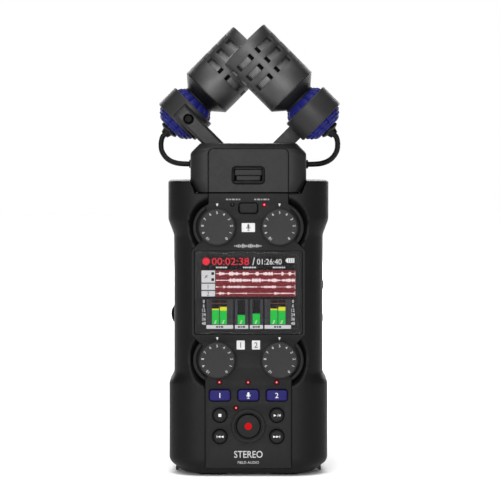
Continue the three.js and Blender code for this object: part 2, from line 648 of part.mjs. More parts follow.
function rearShell(blank) {
  const coverHalf = BATTERY_COVER_HALF_WIDTH + CLEAR;
  const slots = [];
  for (let i = 0; i < SPEAKER_SLOTS; i += 1) {
    const z = SPEAKER_Z + (i - (SPEAKER_SLOTS - 1) / 2) * 2 * SPEAKER_SLOT;
    slots.push(box(-SPEAKER_RADIUS + 1, SPEAKER_RADIUS - 1, BACK_Y - WALL - 1, FAR,
      z - SPEAKER_SLOT / 2, z + SPEAKER_SLOT / 2));
  }
  return cut(
    blank,
    box(-FAR, FAR, -FAR, SPLIT_Y + CLEAR, -FAR, 4 * FAR),
    box(-coverHalf, coverHalf, BACK_Y - WALL - 1, FAR,
      BATTERY_COVER_BOTTOM_Z - CLEAR, BATTERY_COVER_TOP_Z + CLEAR),
    rodY(TRIPOD_RADIUS + CLEAR, BACK_Y - WALL - 1, FAR, 0, TRIPOD_Z, 24),
    ...slots,
  );
}

function screenGlass() {
  const middleZ = (GLASS_BOTTOM_Z + GLASS_TOP_Z) / 2;
  const halfHeight = (GLASS_TOP_Z - GLASS_BOTTOM_Z) / 2;
  const outline = roundedBox(0, middleZ, GLASS_HALF_WIDTH, halfHeight, 0.8);
  return plate(outline, PANEL_Y - CLEAR / 2, PANEL_Y - CLEAR / 2 + GLASS_THICK, 3);
}

function lcdModule() {
  const front = PANEL_Y - CLEAR / 2 + GLASS_THICK + CLEAR;
  return box(-GLASS_HALF_WIDTH + 1, GLASS_HALF_WIDTH - 1, front, front + LCD_THICK,
    GLASS_BOTTOM_Z + 1, GLASS_TOP_Z - 1);
}

function mainBoard() {
  const seat = BOARD_Y + BOARD_THICK / 2;
  const potTop = PANEL_BACK_Y + 2 * CLEAR;
  return join(
    box(-BOARD_HALF_WIDTH, BOARD_HALF_WIDTH, BOARD_Y, BOARD_Y + BOARD_THICK, BOARD_BOTTOM_Z, BOARD_TOP_Z),
    ...KNOBS.map(({ side, z }) => {
      const x = side * KNOB_X;
      return box(x - POT_HALF, x + POT_HALF, Math.max(potTop, BOARD_Y - POT_DEPTH), seat,
        z - POT_HALF, z + POT_HALF);
    }),
    ...BUTTONS.map(({ x, z }) => (
      box(x - SWITCH_HALF, x + SWITCH_HALF, BOARD_Y - SWITCH_DEPTH, seat, z - SWITCH_HALF, z + SWITCH_HALF))),
  );
}

function knobForm({ side, z }) {
  const back = PANEL_Y - CLEAR - 0.1;
  const shaftEnd = Math.max(PANEL_BACK_Y + 2 * CLEAR, BOARD_Y - POT_DEPTH) - CLEAR;
  const profile = [
    [0, back - KNOB_HEIGHT],
    [KNOB_RADIUS - KNOB_BEVEL, back - KNOB_HEIGHT],
    [KNOB_RADIUS, back - KNOB_HEIGHT + KNOB_BEVEL],
    [KNOB_RADIUS, back],
    [KNOB_SHAFT_RADIUS, back],
    [KNOB_SHAFT_RADIUS, shaftEnd],
    [0, shaftEnd],
  ];
  return turned(profile.map(([radius, y]) => [radius, -y]))
    .rotateX(Math.PI / 2)
    .translate(side * KNOB_X, 0, z);
}

function recordRing() {
  const shape = new THREE.Shape().absarc(0, RECORD_Z, RECORD_RING_OUTER, 0, 2 * Math.PI);
  shape.holes.push(new THREE.Path().absarc(0, RECORD_Z, RECORD_RING_INNER, 0, 2 * Math.PI, true));
  return plate(shape, PANEL_Y - CLEAR - RECORD_RING_PROUD, PANEL_Y - CLEAR, 8);
}

function comboJack(side) {
  const mouth = JACK_RECESS;
  const floor = mouth + JACK_DEPTH;
  const sleeve = turned([
    [JACK_BORE_RADIUS, mouth], [JACK_SLEEVE_RADIUS, mouth], [JACK_SLEEVE_RADIUS, floor + JACK_FLOOR],
    [0, floor + JACK_FLOOR], [0, floor], [JACK_PLUG_RADIUS, floor],
    [JACK_PLUG_RADIUS, mouth + JACK_CORE_RECESS], [JACK_CORE_RADIUS, mouth + JACK_CORE_RECESS],
    [JACK_CORE_RADIUS, floor], [JACK_BORE_RADIUS, floor],
    [JACK_BORE_RADIUS, mouth],
  ], 20);
  return sleeve.translate(side * JACK_X, 0, 0);
}

// lever with an upturned lip, pushed inwards to free a plug
function releaseTab(side) {
  const outer = FOOT_HALF_WIDTH - TAB_END_INSET;
  const inner = JACK_X + JACK_SLEEVE_RADIUS + TAB_TRAVEL + CLEAR;
  const shape = polygon([
    [inner, TAB_Z + TAB_THICK],
    [inner, TAB_Z],
    [outer - TAB_LIP, TAB_Z],
    [outer - TAB_LIP, TAB_Z - TAB_LIP],
    [outer, TAB_Z - TAB_LIP / 2],
    [outer, TAB_Z + TAB_THICK],
  ]);
  const form = plate(shape, -TAB_HALF_WIDTH, TAB_HALF_WIDTH);
  return side > 0 ? form : form.rotateZ(Math.PI);
}

function sideWheel(x, z, radius) {
  const half = WHEEL_THICK / 2;
  const axle = WHEEL_AXLE_LENGTH / 2;
  const rim = radius - WHEEL_BEVEL;
  return turned([
    [0, -axle], [WHEEL_AXLE_RADIUS, -axle], [WHEEL_AXLE_RADIUS, -half], [rim, -half],
    [radius, WHEEL_BEVEL - half], [radius, half - WHEEL_BEVEL], [rim, half],
    [WHEEL_AXLE_RADIUS, half], [WHEEL_AXLE_RADIUS, axle], [0, axle],
  ], 20).rotateX(Math.PI / 2).translate(x, 0, z);
}

function powerSlider() {
  const inside = -WALL_INSIDE_X + CLEAR;
  return join(
    box(-WAIST_HALF_WIDTH - SLIDER_PROUD, inside + 1, -SLIDER_HALF_WIDTH, SLIDER_HALF_WIDTH,
      SLIDER_Z - SLIDER_HALF_LENGTH, SLIDER_Z + SLIDER_HALF_LENGTH),
    box(inside, inside + 1, -2 * SLIDER_HALF_WIDTH, 2 * SLIDER_HALF_WIDTH,
      SLIDER_Z - SLIDER_HALF_LENGTH, SLIDER_Z + SLIDER_HALF_LENGTH),
  );
}

const portCover = () => box(WAIST_HALF_WIDTH - PORT_COVER_THICK, WAIST_HALF_WIDTH,
  ...PORT_COVER_Y, PORT_COVER_BOTTOM_Z, PORT_COVER_TOP_Z);

function usbPort() {
  const mouth = WAIST_HALF_WIDTH - PORT_COVER_THICK - 2 * CLEAR;
  const halfWidth = USB_HALF_WIDTH - USB_WALL;
  const halfLength = USB_HALF_LENGTH - USB_WALL;
  return cut(
    solid(box(mouth - USB_LENGTH, mouth, -USB_HALF_WIDTH, USB_HALF_WIDTH,
      USB_Z - USB_HALF_LENGTH, USB_Z + USB_HALF_LENGTH)),
    box(mouth - USB_DEPTH, mouth + 1, -halfWidth, halfWidth, USB_Z - halfLength, USB_Z + halfLength),
  );
}

function lineJack() {
  const end = -TRAY_HALF_WIDTH - LINE_JACK_SPACE;
  const boreEnd = end - 2 * LINE_JACK_BLOCK_WALL;
  return cut(
    join(
      rodX(LINE_JACK_RADIUS, -WAIST_HALF_WIDTH + LINE_JACK_RECESS, boreEnd + 1, 0, LINE_JACK_Z),
      box(-WALL_INSIDE_X + LINE_JACK_SHOULDER, end, -LINE_JACK_RADIUS, LINE_JACK_RADIUS,
        LINE_JACK_Z - LINE_JACK_RADIUS, LINE_JACK_Z + LINE_JACK_RADIUS),
    ),
    rodX(LINE_JACK_BORE, -FAR, boreEnd, 0, LINE_JACK_Z, 16),
  );
}

// spring-latched lid over the cells; its hinge line is the outer edge at the bottom
const batteryCover = () => box(-BATTERY_COVER_HALF_WIDTH, BATTERY_COVER_HALF_WIDTH,
  BACK_Y - BATTERY_COVER_THICK, BACK_Y, BATTERY_COVER_BOTTOM_Z, BATTERY_COVER_TOP_Z);

function cellForm(side) {
  const half = CELL_LENGTH / 2;
  const tip = half - CELL_TIP;
  const profile = [
    [0, -half], [CELL_RADIUS, -half], [CELL_RADIUS, tip],
    [CELL_TIP_RADIUS, tip], [CELL_TIP_RADIUS, half], [0, half],
  ];
  return turned(profile, 20).translate(side * CELL_X, CELL_Y, CELL_MIDDLE_Z);
}

function batteryTray() {
  const halfHeight = CELL_LENGTH / 2 + CLEAR;
  const halfWidth = TRAY_HALF_WIDTH - TRAY_WALL;
  const mouthY = BACK_Y - WALL - 2 * CLEAR;
  return cut(
    solid(box(-TRAY_HALF_WIDTH, TRAY_HALF_WIDTH, TRAY_FLOOR_Y - TRAY_WALL, mouthY,
      CELL_MIDDLE_Z - halfHeight - TRAY_WALL, CELL_MIDDLE_Z + halfHeight + TRAY_WALL)),
    box(-halfWidth, halfWidth, TRAY_FLOOR_Y, FAR, CELL_MIDDLE_Z - halfHeight, CELL_MIDDLE_Z + halfHeight),
  );
}

const tripodInsert = () => cut(
  solid(rodY(TRIPOD_RADIUS, BACK_Y - TRIPOD_DEPTH, BACK_Y, 0, TRIPOD_Z, 24)),
  rodY(TRIPOD_BORE, BACK_Y - TRIPOD_DEPTH + 1, FAR, 0, TRIPOD_Z, 20),
);

function speaker() {
  const front = BACK_Y - WALL - CLEAR;
  return join(
    rodY(SPEAKER_RADIUS, front - SPEAKER_DEPTH / 2, front, 0, SPEAKER_Z, 28),
    rodY(SPEAKER_RADIUS * SPEAKER_MAGNET, front - SPEAKER_DEPTH, front - 1, 0, SPEAKER_Z, 20),
  );
}

// cup under the deck that takes the capsule's plug
function capsuleSocket() {
  const [halfX, halfY] = SOCKET_HALF;
  const floor = CAPSULE_Z - PLUG_REACH - CLEAR;
  return cut(
    solid(box(-halfX, halfX, -halfY, halfY, floor - SOCKET_WALL, DECK_Z - CLEAR)),
    box(-PLUG_HALF[0] - CLEAR, PLUG_HALF[0] + CLEAR, -PLUG_HALF[1] - CLEAR, PLUG_HALF[1] + CLEAR,
      floor, 4 * FAR),
  );
}

// ---------------------------------------------------------------- pieces of the capsule
// the housing's outline from the front, moved in by an inset
function capsuleFront(inset) {
  const width = CAPSULE_HALF_WIDTH - inset;
  const top = CAPSULE_TOP_Z - inset;
  const lean = inset * 0.4;
  const [seatX, seatZ] = CAPSULE_SEAT;
  const [shoulderX, shoulderZ] = CAPSULE_SHOULDER;
  return polygon([
    [-width + seatX, CAPSULE_Z],
    [width - seatX, CAPSULE_Z],
    [width, CAPSULE_Z + seatZ],
    [width, top - shoulderZ + lean],
    [width - shoulderX + lean, top],
    [-width + shoulderX - lean, top],
    [-width, top - shoulderZ + lean],
    [-width, CAPSULE_Z + seatZ],
  ]);
}

// the same housing from the side, with the bevels along its top edges
function capsuleSide(inset, frontInset) {
  const front = CAPSULE_FRONT_Y + frontInset;
  const back = CAPSULE_BACK_Y - inset;
  const top = CAPSULE_TOP_Z - inset;
  const [browY, browZ] = CAPSULE_BROW;
  const shape = polygon([
    [front, CAPSULE_Z - 1],
    [back, CAPSULE_Z - 1],
    [back, top - browZ],
    [back - browY, top],
    [front + browY, top],
    [front, top - browZ],
  ]);
  return plate(shape, -FAR, FAR).rotateZ(Math.PI / 2);
}

const capsuleSolid = (inset, frontInset) => (
  keep(solid(plate(capsuleFront(inset), -FAR, FAR)), capsuleSide(inset, frontInset)));

function armForm(grow) {
  const half = ARM_HALF_WIDTH + grow;
  const front = ARM_BACK_Y - ARM_THICK - grow;
  const back = ARM_BACK_Y + grow;
  const shape = polygon([
    [-half, back],
    [-half, front + ARM_CHAMFER],
    [-half + ARM_CHAMFER, front],
    [half - ARM_CHAMFER, front],
    [half, front + ARM_CHAMFER],
    [half, back],
  ]);
  const length = ARM_END + ARM_LENGTH + grow;
  return new THREE.ExtrudeGeometry(shape, { depth: length, bevelEnabled: false })
    .rotateY(Math.PI / 2)
    .translate(-ARM_END, 0, ARM_SHIFT);
}

function latchOutline(grow) {
  return roundedBox(0, CAPSULE_Z + LATCH_Z, LATCH_HALF[0] + grow, LATCH_HALF[1] + grow, 1 + grow);
}

function capsuleHousing(armSlots) {
  const middleZ = CAPSULE_Z + LATCH_Z;
  const floorHalf = CAPSULE_HALF_WIDTH - CAPSULE_SEAT[0] - CAPSULE_WALL;
  const recess = roundedBox(0, middleZ, ...LATCH_RECESS_HALF, LATCH_RECESS_CORNER);
  const leadHoleAt = (side) => {
    const end = LEAD_ROUTE[LEAD_ROUTE.length - 1];
    return rodX(LEAD_RADIUS + CLEAR, side < 0 ? -FAR : 0, side < 0 ? 0 : FAR,
      -side * (RING_CENTRE.y + end[1]), RING_CENTRE.z + end[2], 16);
  };
  return cut(
    capsuleSolid(0, 0),
    capsuleSolid(CAPSULE_WALL, CAPSULE_FRONT_WALL),
    box(-floorHalf, floorHalf, CAPSULE_FRONT_Y + CAPSULE_FRONT_WALL, CAPSULE_BACK_Y - CAPSULE_WALL,
      CAPSULE_Z - 1, CAPSULE_Z + 1),
    box(-CHANNEL_HALF_WIDTH, CHANNEL_HALF_WIDTH, -FAR, STRIP_Y,
      CAPSULE_Z - 1, CAPSULE_TOP_Z - STRIP_TOP),
    plate(recess, -FAR, STRIP_Y + LATCH_RECESS, 3),
    plate(latchOutline(CLEAR), -FAR, 0, 3),
    leadHoleAt(-1),
    leadHoleAt(1),
    ...armSlots,
  );
}

// bottom plate of the housing with the plug that carries the signals to the body
function capsuleBase() {
  const halfX = CAPSULE_HALF_WIDTH - CAPSULE_SEAT[0] - CAPSULE_WALL - CLEAR;
  const front = TONGUE_Y + LATCH_TRAVEL + LATCH_TONGUE_DEPTH + 3 * CLEAR;
  return join(
    box(-halfX, halfX, front, CAPSULE_BACK_Y - CAPSULE_WALL - CLEAR, CAPSULE_Z + CLEAR,
      CAPSULE_Z + CLEAR + BASE_PLATE_THICK),
    box(-PLUG_HALF[0], PLUG_HALF[0], -PLUG_HALF[1], PLUG_HALF[1], CAPSULE_Z - PLUG_REACH,
      CAPSULE_Z + CLEAR + 1),
  );
}

function capsuleLatch() {
  const back = TONGUE_Y + CLEAR + LATCH_TONGUE_DEPTH;
  const lipHalf = LATCH_HALF[0] - LATCH_LIP_INSET;
  const middleZ = CAPSULE_Z + LATCH_Z;
  return join(
    plate(latchOutline(0), STRIP_Y - LATCH_PROUD + 1, back, 3),
    box(-lipHalf, lipHalf, STRIP_Y - LATCH_PROUD, back,
      middleZ - LATCH_HALF[1] + CLEAR, middleZ - CLEAR),
    plate(latchOutline(LATCH_FLANGE), TONGUE_Y + CLEAR, back, 3),
    box(-LATCH_TONGUE_HALF, LATCH_TONGUE_HALF, TONGUE_Y + CLEAR, back,
      DECK_Z - LATCH_TONGUE_BOTTOM, middleZ),
  );
}

// ---------------------------------------------------------------- microphone, in its own frame:
// origin at the middle of the mount ring, +Z along the axis to the front, +X down along the arm
// angles where each slot round the head starts and ends; the two at its sides are halved by a rib
function slotAngles(index) {
  const middle = ((index + 0.5) * 2 * Math.PI) / SLOT_COUNT - Math.PI / 2;
  const start = middle - SLOT_ANGLE / 2;
  const end = middle + SLOT_ANGLE / 2;
  const atSide = Math.abs(Math.sin(middle)) < 0.5;
  const rib = SIDE_RIB_ANGLE / 2;
  return atSide ? [[start, middle - rib], [middle + rib, end]] : [[start, end]];
}

function slotForm(row, [start, end]) {
  const inner = HEAD_RADIUS - HEAD_WALL - 1;
  const outer = HEAD_RADIUS + 1;
  const [z0, z1] = SLOT_ROWS[row];
  const shape = new THREE.Shape();
  shape.absarc(0, 0, outer, start, end);
  shape.absarc(0, 0, inner, end, start, true);
  const options = { depth: z1 - z0, bevelEnabled: false, curveSegments: 1 };
  return new THREE.ExtrudeGeometry(shape, options).translate(0, 0, z0);
}

function micHead() {
  const back = HEAD_BACK + CLEAR;
  const inside = HEAD_RADIUS - HEAD_WALL;
  const blank = turned([
    [inside, back], [HEAD_RADIUS, back], [HEAD_RADIUS, HEAD_FRONT - HEAD_BEVEL],
    [HEAD_RADIUS - HEAD_BEVEL, HEAD_FRONT], [HEAD_MOUTH_RADIUS, HEAD_FRONT],
    [HEAD_MOUTH_RADIUS, HEAD_FRONT - HEAD_WALL], [inside, HEAD_FRONT - HEAD_WALL], [inside, back],
  ]);
  const spans = Array.from({ length: SLOT_COUNT }, (_, index) => slotAngles(index)).flat();
  const slots = SLOT_ROWS.flatMap((_, row) => spans.map((span) => slotForm(row, span)));
  return cut(solid(blank), ...slots);
}

function micMesh() {
  const outside = HEAD_RADIUS - HEAD_WALL - CLEAR;
  const inside = outside - MESH_THICK;
  const back = HEAD_BACK + 3 * CLEAR;
  const front = HEAD_FRONT - HEAD_WALL - CLEAR;
  return turned([
    [inside, back], [outside, back], [outside, front], [0, front],
    [0, front - MESH_THICK], [inside, front - MESH_THICK], [inside, back],
  ], 20);
}

// transducer on the stalk that holds it off the rear cone
const micElement = () => turned([
  [0, HEAD_BACK + CLEAR], [ELEMENT_STALK_RADIUS, HEAD_BACK + CLEAR],
  [ELEMENT_STALK_RADIUS, ELEMENT_SPAN[0]],
  [ELEMENT_RADIUS, ELEMENT_SPAN[0]], [ELEMENT_RADIUS, ELEMENT_SPAN[1]], [0, ELEMENT_SPAN[1]],
], 16);

// rear cone of the microphone and the stem that goes through the shock mount
const micStem = () => turned([
  [0, STEM_BACK], [STEM_RADIUS, STEM_BACK], [STEM_RADIUS, NECK_BACK],
  [NECK_RADIUS, NECK_BACK], [HEAD_RADIUS, HEAD_BACK - 0.2], [HEAD_RADIUS, HEAD_BACK], [0, HEAD_BACK],
]);

const shockMount = () => turned([
  [STEM_RADIUS + CLEAR, STEM_BACK], [MOUNT_BACK_RADIUS, STEM_BACK],
  [MOUNT_RADIUS, -RING_HALF_LENGTH - CLEAR], [RING_RADIUS - RING_WALL - CLEAR, -RING_HALF_LENGTH],
  [RING_RADIUS - RING_WALL - CLEAR, RING_HALF_LENGTH], [MOUNT_RADIUS, RING_HALF_LENGTH + CLEAR],
  [MOUNT_FRONT_RADIUS, NECK_BACK - CLEAR], [STEM_RADIUS + CLEAR, NECK_BACK - CLEAR],
  [STEM_RADIUS + CLEAR, STEM_BACK],
]);

function micRing() {
  const inside = RING_RADIUS - RING_WALL;
  const band = turned([
    [inside, -RING_HALF_LENGTH], [RING_RADIUS, -RING_HALF_LENGTH], [RING_RADIUS, RING_HALF_LENGTH],
    [inside, RING_HALF_LENGTH], [inside, -RING_HALF_LENGTH],
  ]);
  const padHalf = ARM_HALF_WIDTH - RING_PAD_INSET;
  const pad = box(-ARM_END, SCREW_X + RING_PAD_LENGTH, RING_PAD_Y, -inside - CLEAR, -padHalf, padHalf);
  return cut(
    join(band, pad),
    rodY(SCREW_SHANK_RADIUS + CLEAR, -FAR, -inside + 2, SCREW_X, ARM_SHIFT, 16),
  );
}

const micArm = () => cut(
  solid(armForm(0)),
  rodY(SCREW_SHANK_RADIUS + CLEAR, -FAR, FAR, SCREW_X, ARM_SHIFT, 16),
  rodY(SCREW_HEAD_RADIUS + CLEAR, -FAR, ARM_FRONT_Y + SCREW_HEAD_DEPTH + CLEAR, SCREW_X, ARM_SHIFT, 20),
);

const armScrew = () => cut(
  join(
    rodY(SCREW_HEAD_RADIUS, ARM_FRONT_Y + SCREW_RECESS, ARM_FRONT_Y + SCREW_HEAD_DEPTH,
      SCREW_X, ARM_SHIFT, 20),
    rodY(SCREW_SHANK_RADIUS, ARM_FRONT_Y + 1, RING_PAD_Y + 1, SCREW_X, ARM_SHIFT, 12),
  ),
  rodY(SCREW_HEX_RADIUS, -FAR, ARM_FRONT_Y + SCREW_HEX_DEPTH, SCREW_X, ARM_SHIFT, 6),
);

const micBoot = () => turned([
  [0, BOOT_STEP[0][1]], ...BOOT_STEP, [0, BOOT_STEP[BOOT_STEP.length - 1][1]],
], 16);

function leadForm() {
  const points = LEAD_ROUTE.map((place) => new THREE.Vector3(...place).add(RING_CENTRE));
  const section = new THREE.Shape();
  for (let i = 0; i < LEAD_SIDES; i += 1) {
    const angle = (i * 2 * Math.PI) / LEAD_SIDES;
    const corner = [LEAD_RADIUS * Math.cos(angle), LEAD_RADIUS * Math.sin(angle)];
    if (i === 0) section.moveTo(...corner);
    else section.lineTo(...corner);
  }
  return new THREE.ExtrudeGeometry(section, {
    steps: LEAD_STEPS,
    bevelEnabled: false,
    extrudePath: new THREE.CatmullRomCurve3(points),
  });
}

// ---------------------------------------------------------------- assembly
const recorder = new THREE.Group();

const shell = shellBlank();
add(recorder, 'front_shell', frontShell(shell), finish.shell);
add(recorder, 'rear_shell', rearShell(shell), finish.shell);
add(recorder, 'front_panel', frontPanel(), finish.panel);
add(recorder, 'screen_glass', screenGlass(), finish.glass);
add(recorder, 'lcd_module', lcdModule(), finish.screen);
add(recorder, 'main_board', mainBoard(), finish.board);
KNOBS.forEach((knob) => add(recorder, knob.name, knobForm(knob), finish.control));
BUTTONS.forEach((button) => add(recorder, button.name, buttonForm(button), button.look));
add(recorder, 'record_ring', recordRing(), finish.control);
add(recorder, 'combo_jack_left', comboJack(-1), finish.black);
add(recorder, 'combo_jack_right', comboJack(1), finish.black);
add(recorder, 'jack_release_left', releaseTab(-1), finish.black);
add(recorder, 'jack_release_right', releaseTab(1), finish.black);
add(recorder, 'headphone_thumbwheel', sideWheel(THUMBWHEEL_X, THUMBWHEEL_Z, THUMBWHEEL_RADIUS), finish.black);
add(recorder, 'jog_wheel', sideWheel(JOG_X, JOG_Z, JOG_RADIUS), finish.trackButton);
add(recorder, 'power_slider', powerSlider(), finish.black);
add(recorder, 'port_cover', portCover(), finish.black);
add(recorder, 'usb_port', usbPort(), finish.steel);
add(recorder, 'line_jack', lineJack(), finish.black);
add(recorder, 'battery_cover', batteryCover(), finish.shell);
add(recorder, 'battery_tray', batteryTray(), finish.black);
add(recorder, 'cell_left', cellForm(-1), finish.cell);
add(recorder, 'cell_right', cellForm(1), finish.cell);
add(recorder, 'tripod_insert', tripodInsert(), finish.brass);
add(recorder, 'speaker', speaker(), finish.black);
add(recorder, 'capsule_socket', capsuleSocket(), finish.black);

const micFrames = [['left', 0], ['right', Math.PI]].map(([side, turn]) => {
  const half = new THREE.Group();
  half.rotation.z = turn;
  const frame = new THREE.Group();
  frame.position.copy(RING_CENTRE);
  frame.rotation.y = MIC_TILT;
  half.add(frame);
  recorder.add(half);
  half.updateMatrixWorld(true);
  add(frame, `mic_head_${side}`, micHead(), finish.headMetal);
  add(frame, `mic_mesh_${side}`, micMesh(), finish.mesh);
  add(frame, `mic_element_${side}`, micElement(), finish.brass);
  add(frame, `mic_stem_${side}`, micStem(), finish.black);
  add(frame, `shock_mount_${side}`, shockMount(), finish.blueRubber);
  add(frame, `mount_ring_${side}`, micRing(), finish.ring);
  add(frame, `mic_arm_${side}`, micArm(), finish.ring);
  add(frame, `arm_screw_${side}`, armScrew(), finish.black);
  add(frame, `lead_boot_${side}`, micBoot(), finish.black);
  add(half, `mic_lead_${side}`, leadForm(), finish.black);
  return frame;
});

const armSlots = micFrames.map((frame) => armForm(CLEAR).applyMatrix4(frame.matrixWorld));
add(recorder, 'capsule_housing', capsuleHousing(armSlots), finish.panel);
add(recorder, 'capsule_base', capsuleBase(), finish.black);
add(recorder, 'capsule_latch', capsuleLatch(), finish.control);

export default recorder;
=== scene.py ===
"""Looks of a handheld stereo recorder with two crossed microphones, built around its CAD frame."""

import math
import random

import bmesh
import bpy
from mathutils import Matrix, Vector


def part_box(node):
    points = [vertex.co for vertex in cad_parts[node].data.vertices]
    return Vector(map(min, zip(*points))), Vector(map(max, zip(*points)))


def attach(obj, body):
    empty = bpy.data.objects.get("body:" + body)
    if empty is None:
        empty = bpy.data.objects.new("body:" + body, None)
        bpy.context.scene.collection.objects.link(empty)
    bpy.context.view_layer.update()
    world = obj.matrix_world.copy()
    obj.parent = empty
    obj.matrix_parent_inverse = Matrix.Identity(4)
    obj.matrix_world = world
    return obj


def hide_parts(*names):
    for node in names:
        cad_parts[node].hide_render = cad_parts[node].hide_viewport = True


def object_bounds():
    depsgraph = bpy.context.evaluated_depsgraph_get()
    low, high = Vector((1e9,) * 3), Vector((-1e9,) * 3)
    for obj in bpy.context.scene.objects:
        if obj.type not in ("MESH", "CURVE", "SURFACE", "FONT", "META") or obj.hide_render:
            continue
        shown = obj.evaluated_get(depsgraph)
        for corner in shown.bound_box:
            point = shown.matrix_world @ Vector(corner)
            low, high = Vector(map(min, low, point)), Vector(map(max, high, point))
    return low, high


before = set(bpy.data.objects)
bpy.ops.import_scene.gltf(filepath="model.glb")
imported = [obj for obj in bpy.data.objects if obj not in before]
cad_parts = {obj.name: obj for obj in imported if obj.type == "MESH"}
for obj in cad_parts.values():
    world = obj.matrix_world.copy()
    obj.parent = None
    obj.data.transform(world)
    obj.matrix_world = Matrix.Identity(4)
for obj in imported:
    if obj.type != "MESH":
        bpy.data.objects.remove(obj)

cad_low, cad_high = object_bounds()

MM = 0.001
TAU = 2 * math.pi
QUARTER = math.pi / 2
FAR = 60  # millimetres, past every side of the recorder
ROOT = "recorder_body"
CAPSULE = "mic_capsule"
SIDES = {"left": -1, "right": 1}
CORNERS = [(1, 1), (-1, 1), (-1, -1), (1, -1)]
FACING = Matrix.Rotation(QUARTER, 4, "X")  # turns a piece's own Z to the front
scene = bpy.context.scene


class Span:
    """A CAD node's box in millimetres."""

    def __init__(self, node):
        low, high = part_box(node)
        self.low = low / MM
        self.high = high / MM
        self.middle = (self.low + self.high) / 2
        self.half = (self.high - self.low) / 2


# ---------------------------------------------------------------- driving places, in millimetres
SHELL = Span("front_shell")
PANEL = Span("front_panel")
GLASS = Span("screen_glass")
HOUSING = Span("capsule_housing")
HEAD = Span("mic_head_left")
STEM = Span("mic_stem_left")
RING = Span("mount_ring_left")

SHOULDER = SHELL.half.x
FRONT = SHELL.low.y
BACK = Span("rear_shell").high.y
TOP = SHELL.high.z
DECK = TOP - 5.3
FOOT = SHOULDER - 0.3
WAIST = -Span("line_jack").low.x + 0.2
BASE = 1.2
WALL = 2
SPLIT = 5
SEAM = 0.12
CORNER_X = 14.5
CORNER_Y = 11.5
JACK_X = Span("combo_jack_right").middle.x

GUARD_PROUD = 2.4
PANEL_Y = PANEL.low.y + GUARD_PROUD
PANEL_BACK = PANEL.high.y
CHANNEL = 17
LOWER_CHANNEL = 18.5
LOWER_CHANNEL_TOP = 46
PLATEAU = GLASS.half.x + 1.35
PLATEAU_LOW = GLASS.low.z - 3.8
PLATEAU_HIGH = GLASS.high.z + 3.75
PLATEAU_CORNER = 3.6
PANEL_GAP = 0.14
KNOB = Span("knob_upper_right")
KNOB_RADIUS = KNOB.half.x
KNOB_HEIGHTS = [Span("knob_lower_right").middle.z, KNOB.middle.z]
GUARD_INNER = KNOB_RADIUS + 1
GUARD_OUTER = GUARD_INNER + 1.55
SCOOP = GUARD_OUTER + 2.6


# ---------------------------------------------------------------- camera
def make_camera():
    """The camera stands a metre in front of the recorder and three degrees above its middle."""
    distance = 1.0
    rise = math.radians(3)
    target = (cad_low + cad_high) / 2 + Vector((0.7, 0, -0.37)) * MM
    data = bpy.data.cameras.new("camera")
    data.sensor_width = 36
    data.lens = 165.4
    data.clip_start = 0.05
    data.clip_end = 20
    camera = bpy.data.objects.new("camera", data)
    camera.location = target + distance * Vector((0, -math.cos(rise), math.sin(rise)))
    camera.rotation_euler = (target - camera.location).to_track_quat("-Z", "Y").to_euler()
    scene.collection.objects.link(camera)
    scene.camera = camera


make_camera()


# ---------------------------------------------------------------- meshes
def shift(x, y, z):
    return Matrix.Translation((x, y, z))


def mesh_of(verts, faces):
    """A mesh from points in millimetres, with its faces turned outwards."""
    mesh = bpy.data.meshes.new("piece")
    mesh.from_pydata([tuple(c * MM for c in v) for v in verts], [], faces)
    return welded(mesh)


def welded(mesh, reach=1e-7):
    bm = bmesh.new()
    bm.from_mesh(mesh)
    bmesh.ops.remove_doubles(bm, verts=bm.verts, dist=reach)
    bmesh.ops.recalc_face_normals(bm, faces=bm.faces)
    bm.to_mesh(mesh)
    bm.free()
    return mesh


def moved(mesh, matrix):
    """The mesh moved by a matrix whose shift is in millimetres."""
    place = matrix.copy()
    place.translation *= MM
    mesh.transform(place)
    return mesh


def facing(mesh, x, y, z):
    """The mesh with its own Z turned to the front and its origin put at a place."""
    return moved(mesh, shift(x, y, z) @ FACING)


def merged(meshes):
    """One mesh that holds several closed bodies."""
    bm = bmesh.new()
    for mesh in meshes:
        bm.from_mesh(mesh)
    whole = bpy.data.meshes.new("piece")
    bm.to_mesh(whole)
    bm.free()
    return whole


def linked(data):
    obj = bpy.data.objects.new("work", data)
    scene.collection.objects.link(obj)
    return obj


def baked(obj):
    """The object's finished mesh; the object itself goes."""
    graph = bpy.context.evaluated_depsgraph_get()
    graph.update()
    mesh = bpy.data.meshes.new_from_object(obj.evaluated_get(graph))
    bpy.data.objects.remove(obj)
    return mesh


def carved(mesh, cutters, operation="DIFFERENCE"):
    """The mesh with each cutter taken away, or joined on."""
    base = linked(mesh)
    tools = [linked(cutter) for cutter in cutters]
    for tool in tools:
        change = base.modifiers.new("cut", "BOOLEAN")
        change.object = tool
        change.operation = operation
        change.solver = "EXACT"
    result = baked(base)
    for tool in tools:
        bpy.data.objects.remove(tool)
    return result


def bevelled(mesh, width, steps=3, angle=35):
    base = linked(mesh)
    change = base.modifiers.new("edge", "BEVEL")
    change.width = width * MM
    change.segments = steps
    change.limit_method = "ANGLE"
    change.angle_limit = math.radians(angle)
    change.use_clamp_overlap = True
    return baked(base)


def loft(rings, closed=False):
    """Solid through rings of as many points each, capped unless it closes on itself."""
    count = len(rings[0])
    verts = [point for ring in rings for point in ring]
    faces = []
    for i in range(len(rings) if closed else len(rings) - 1):
        here = i * count
        there = (i + 1) % len(rings) * count
        for j in range(count):
            k = (j + 1) % count
            faces.append((here + j, here + k, there + k, there + j))
    if not closed:
        faces.append(tuple(range(count)))
        faces.append(tuple(range(len(verts) - count, len(verts))))
    return mesh_of(verts, faces)


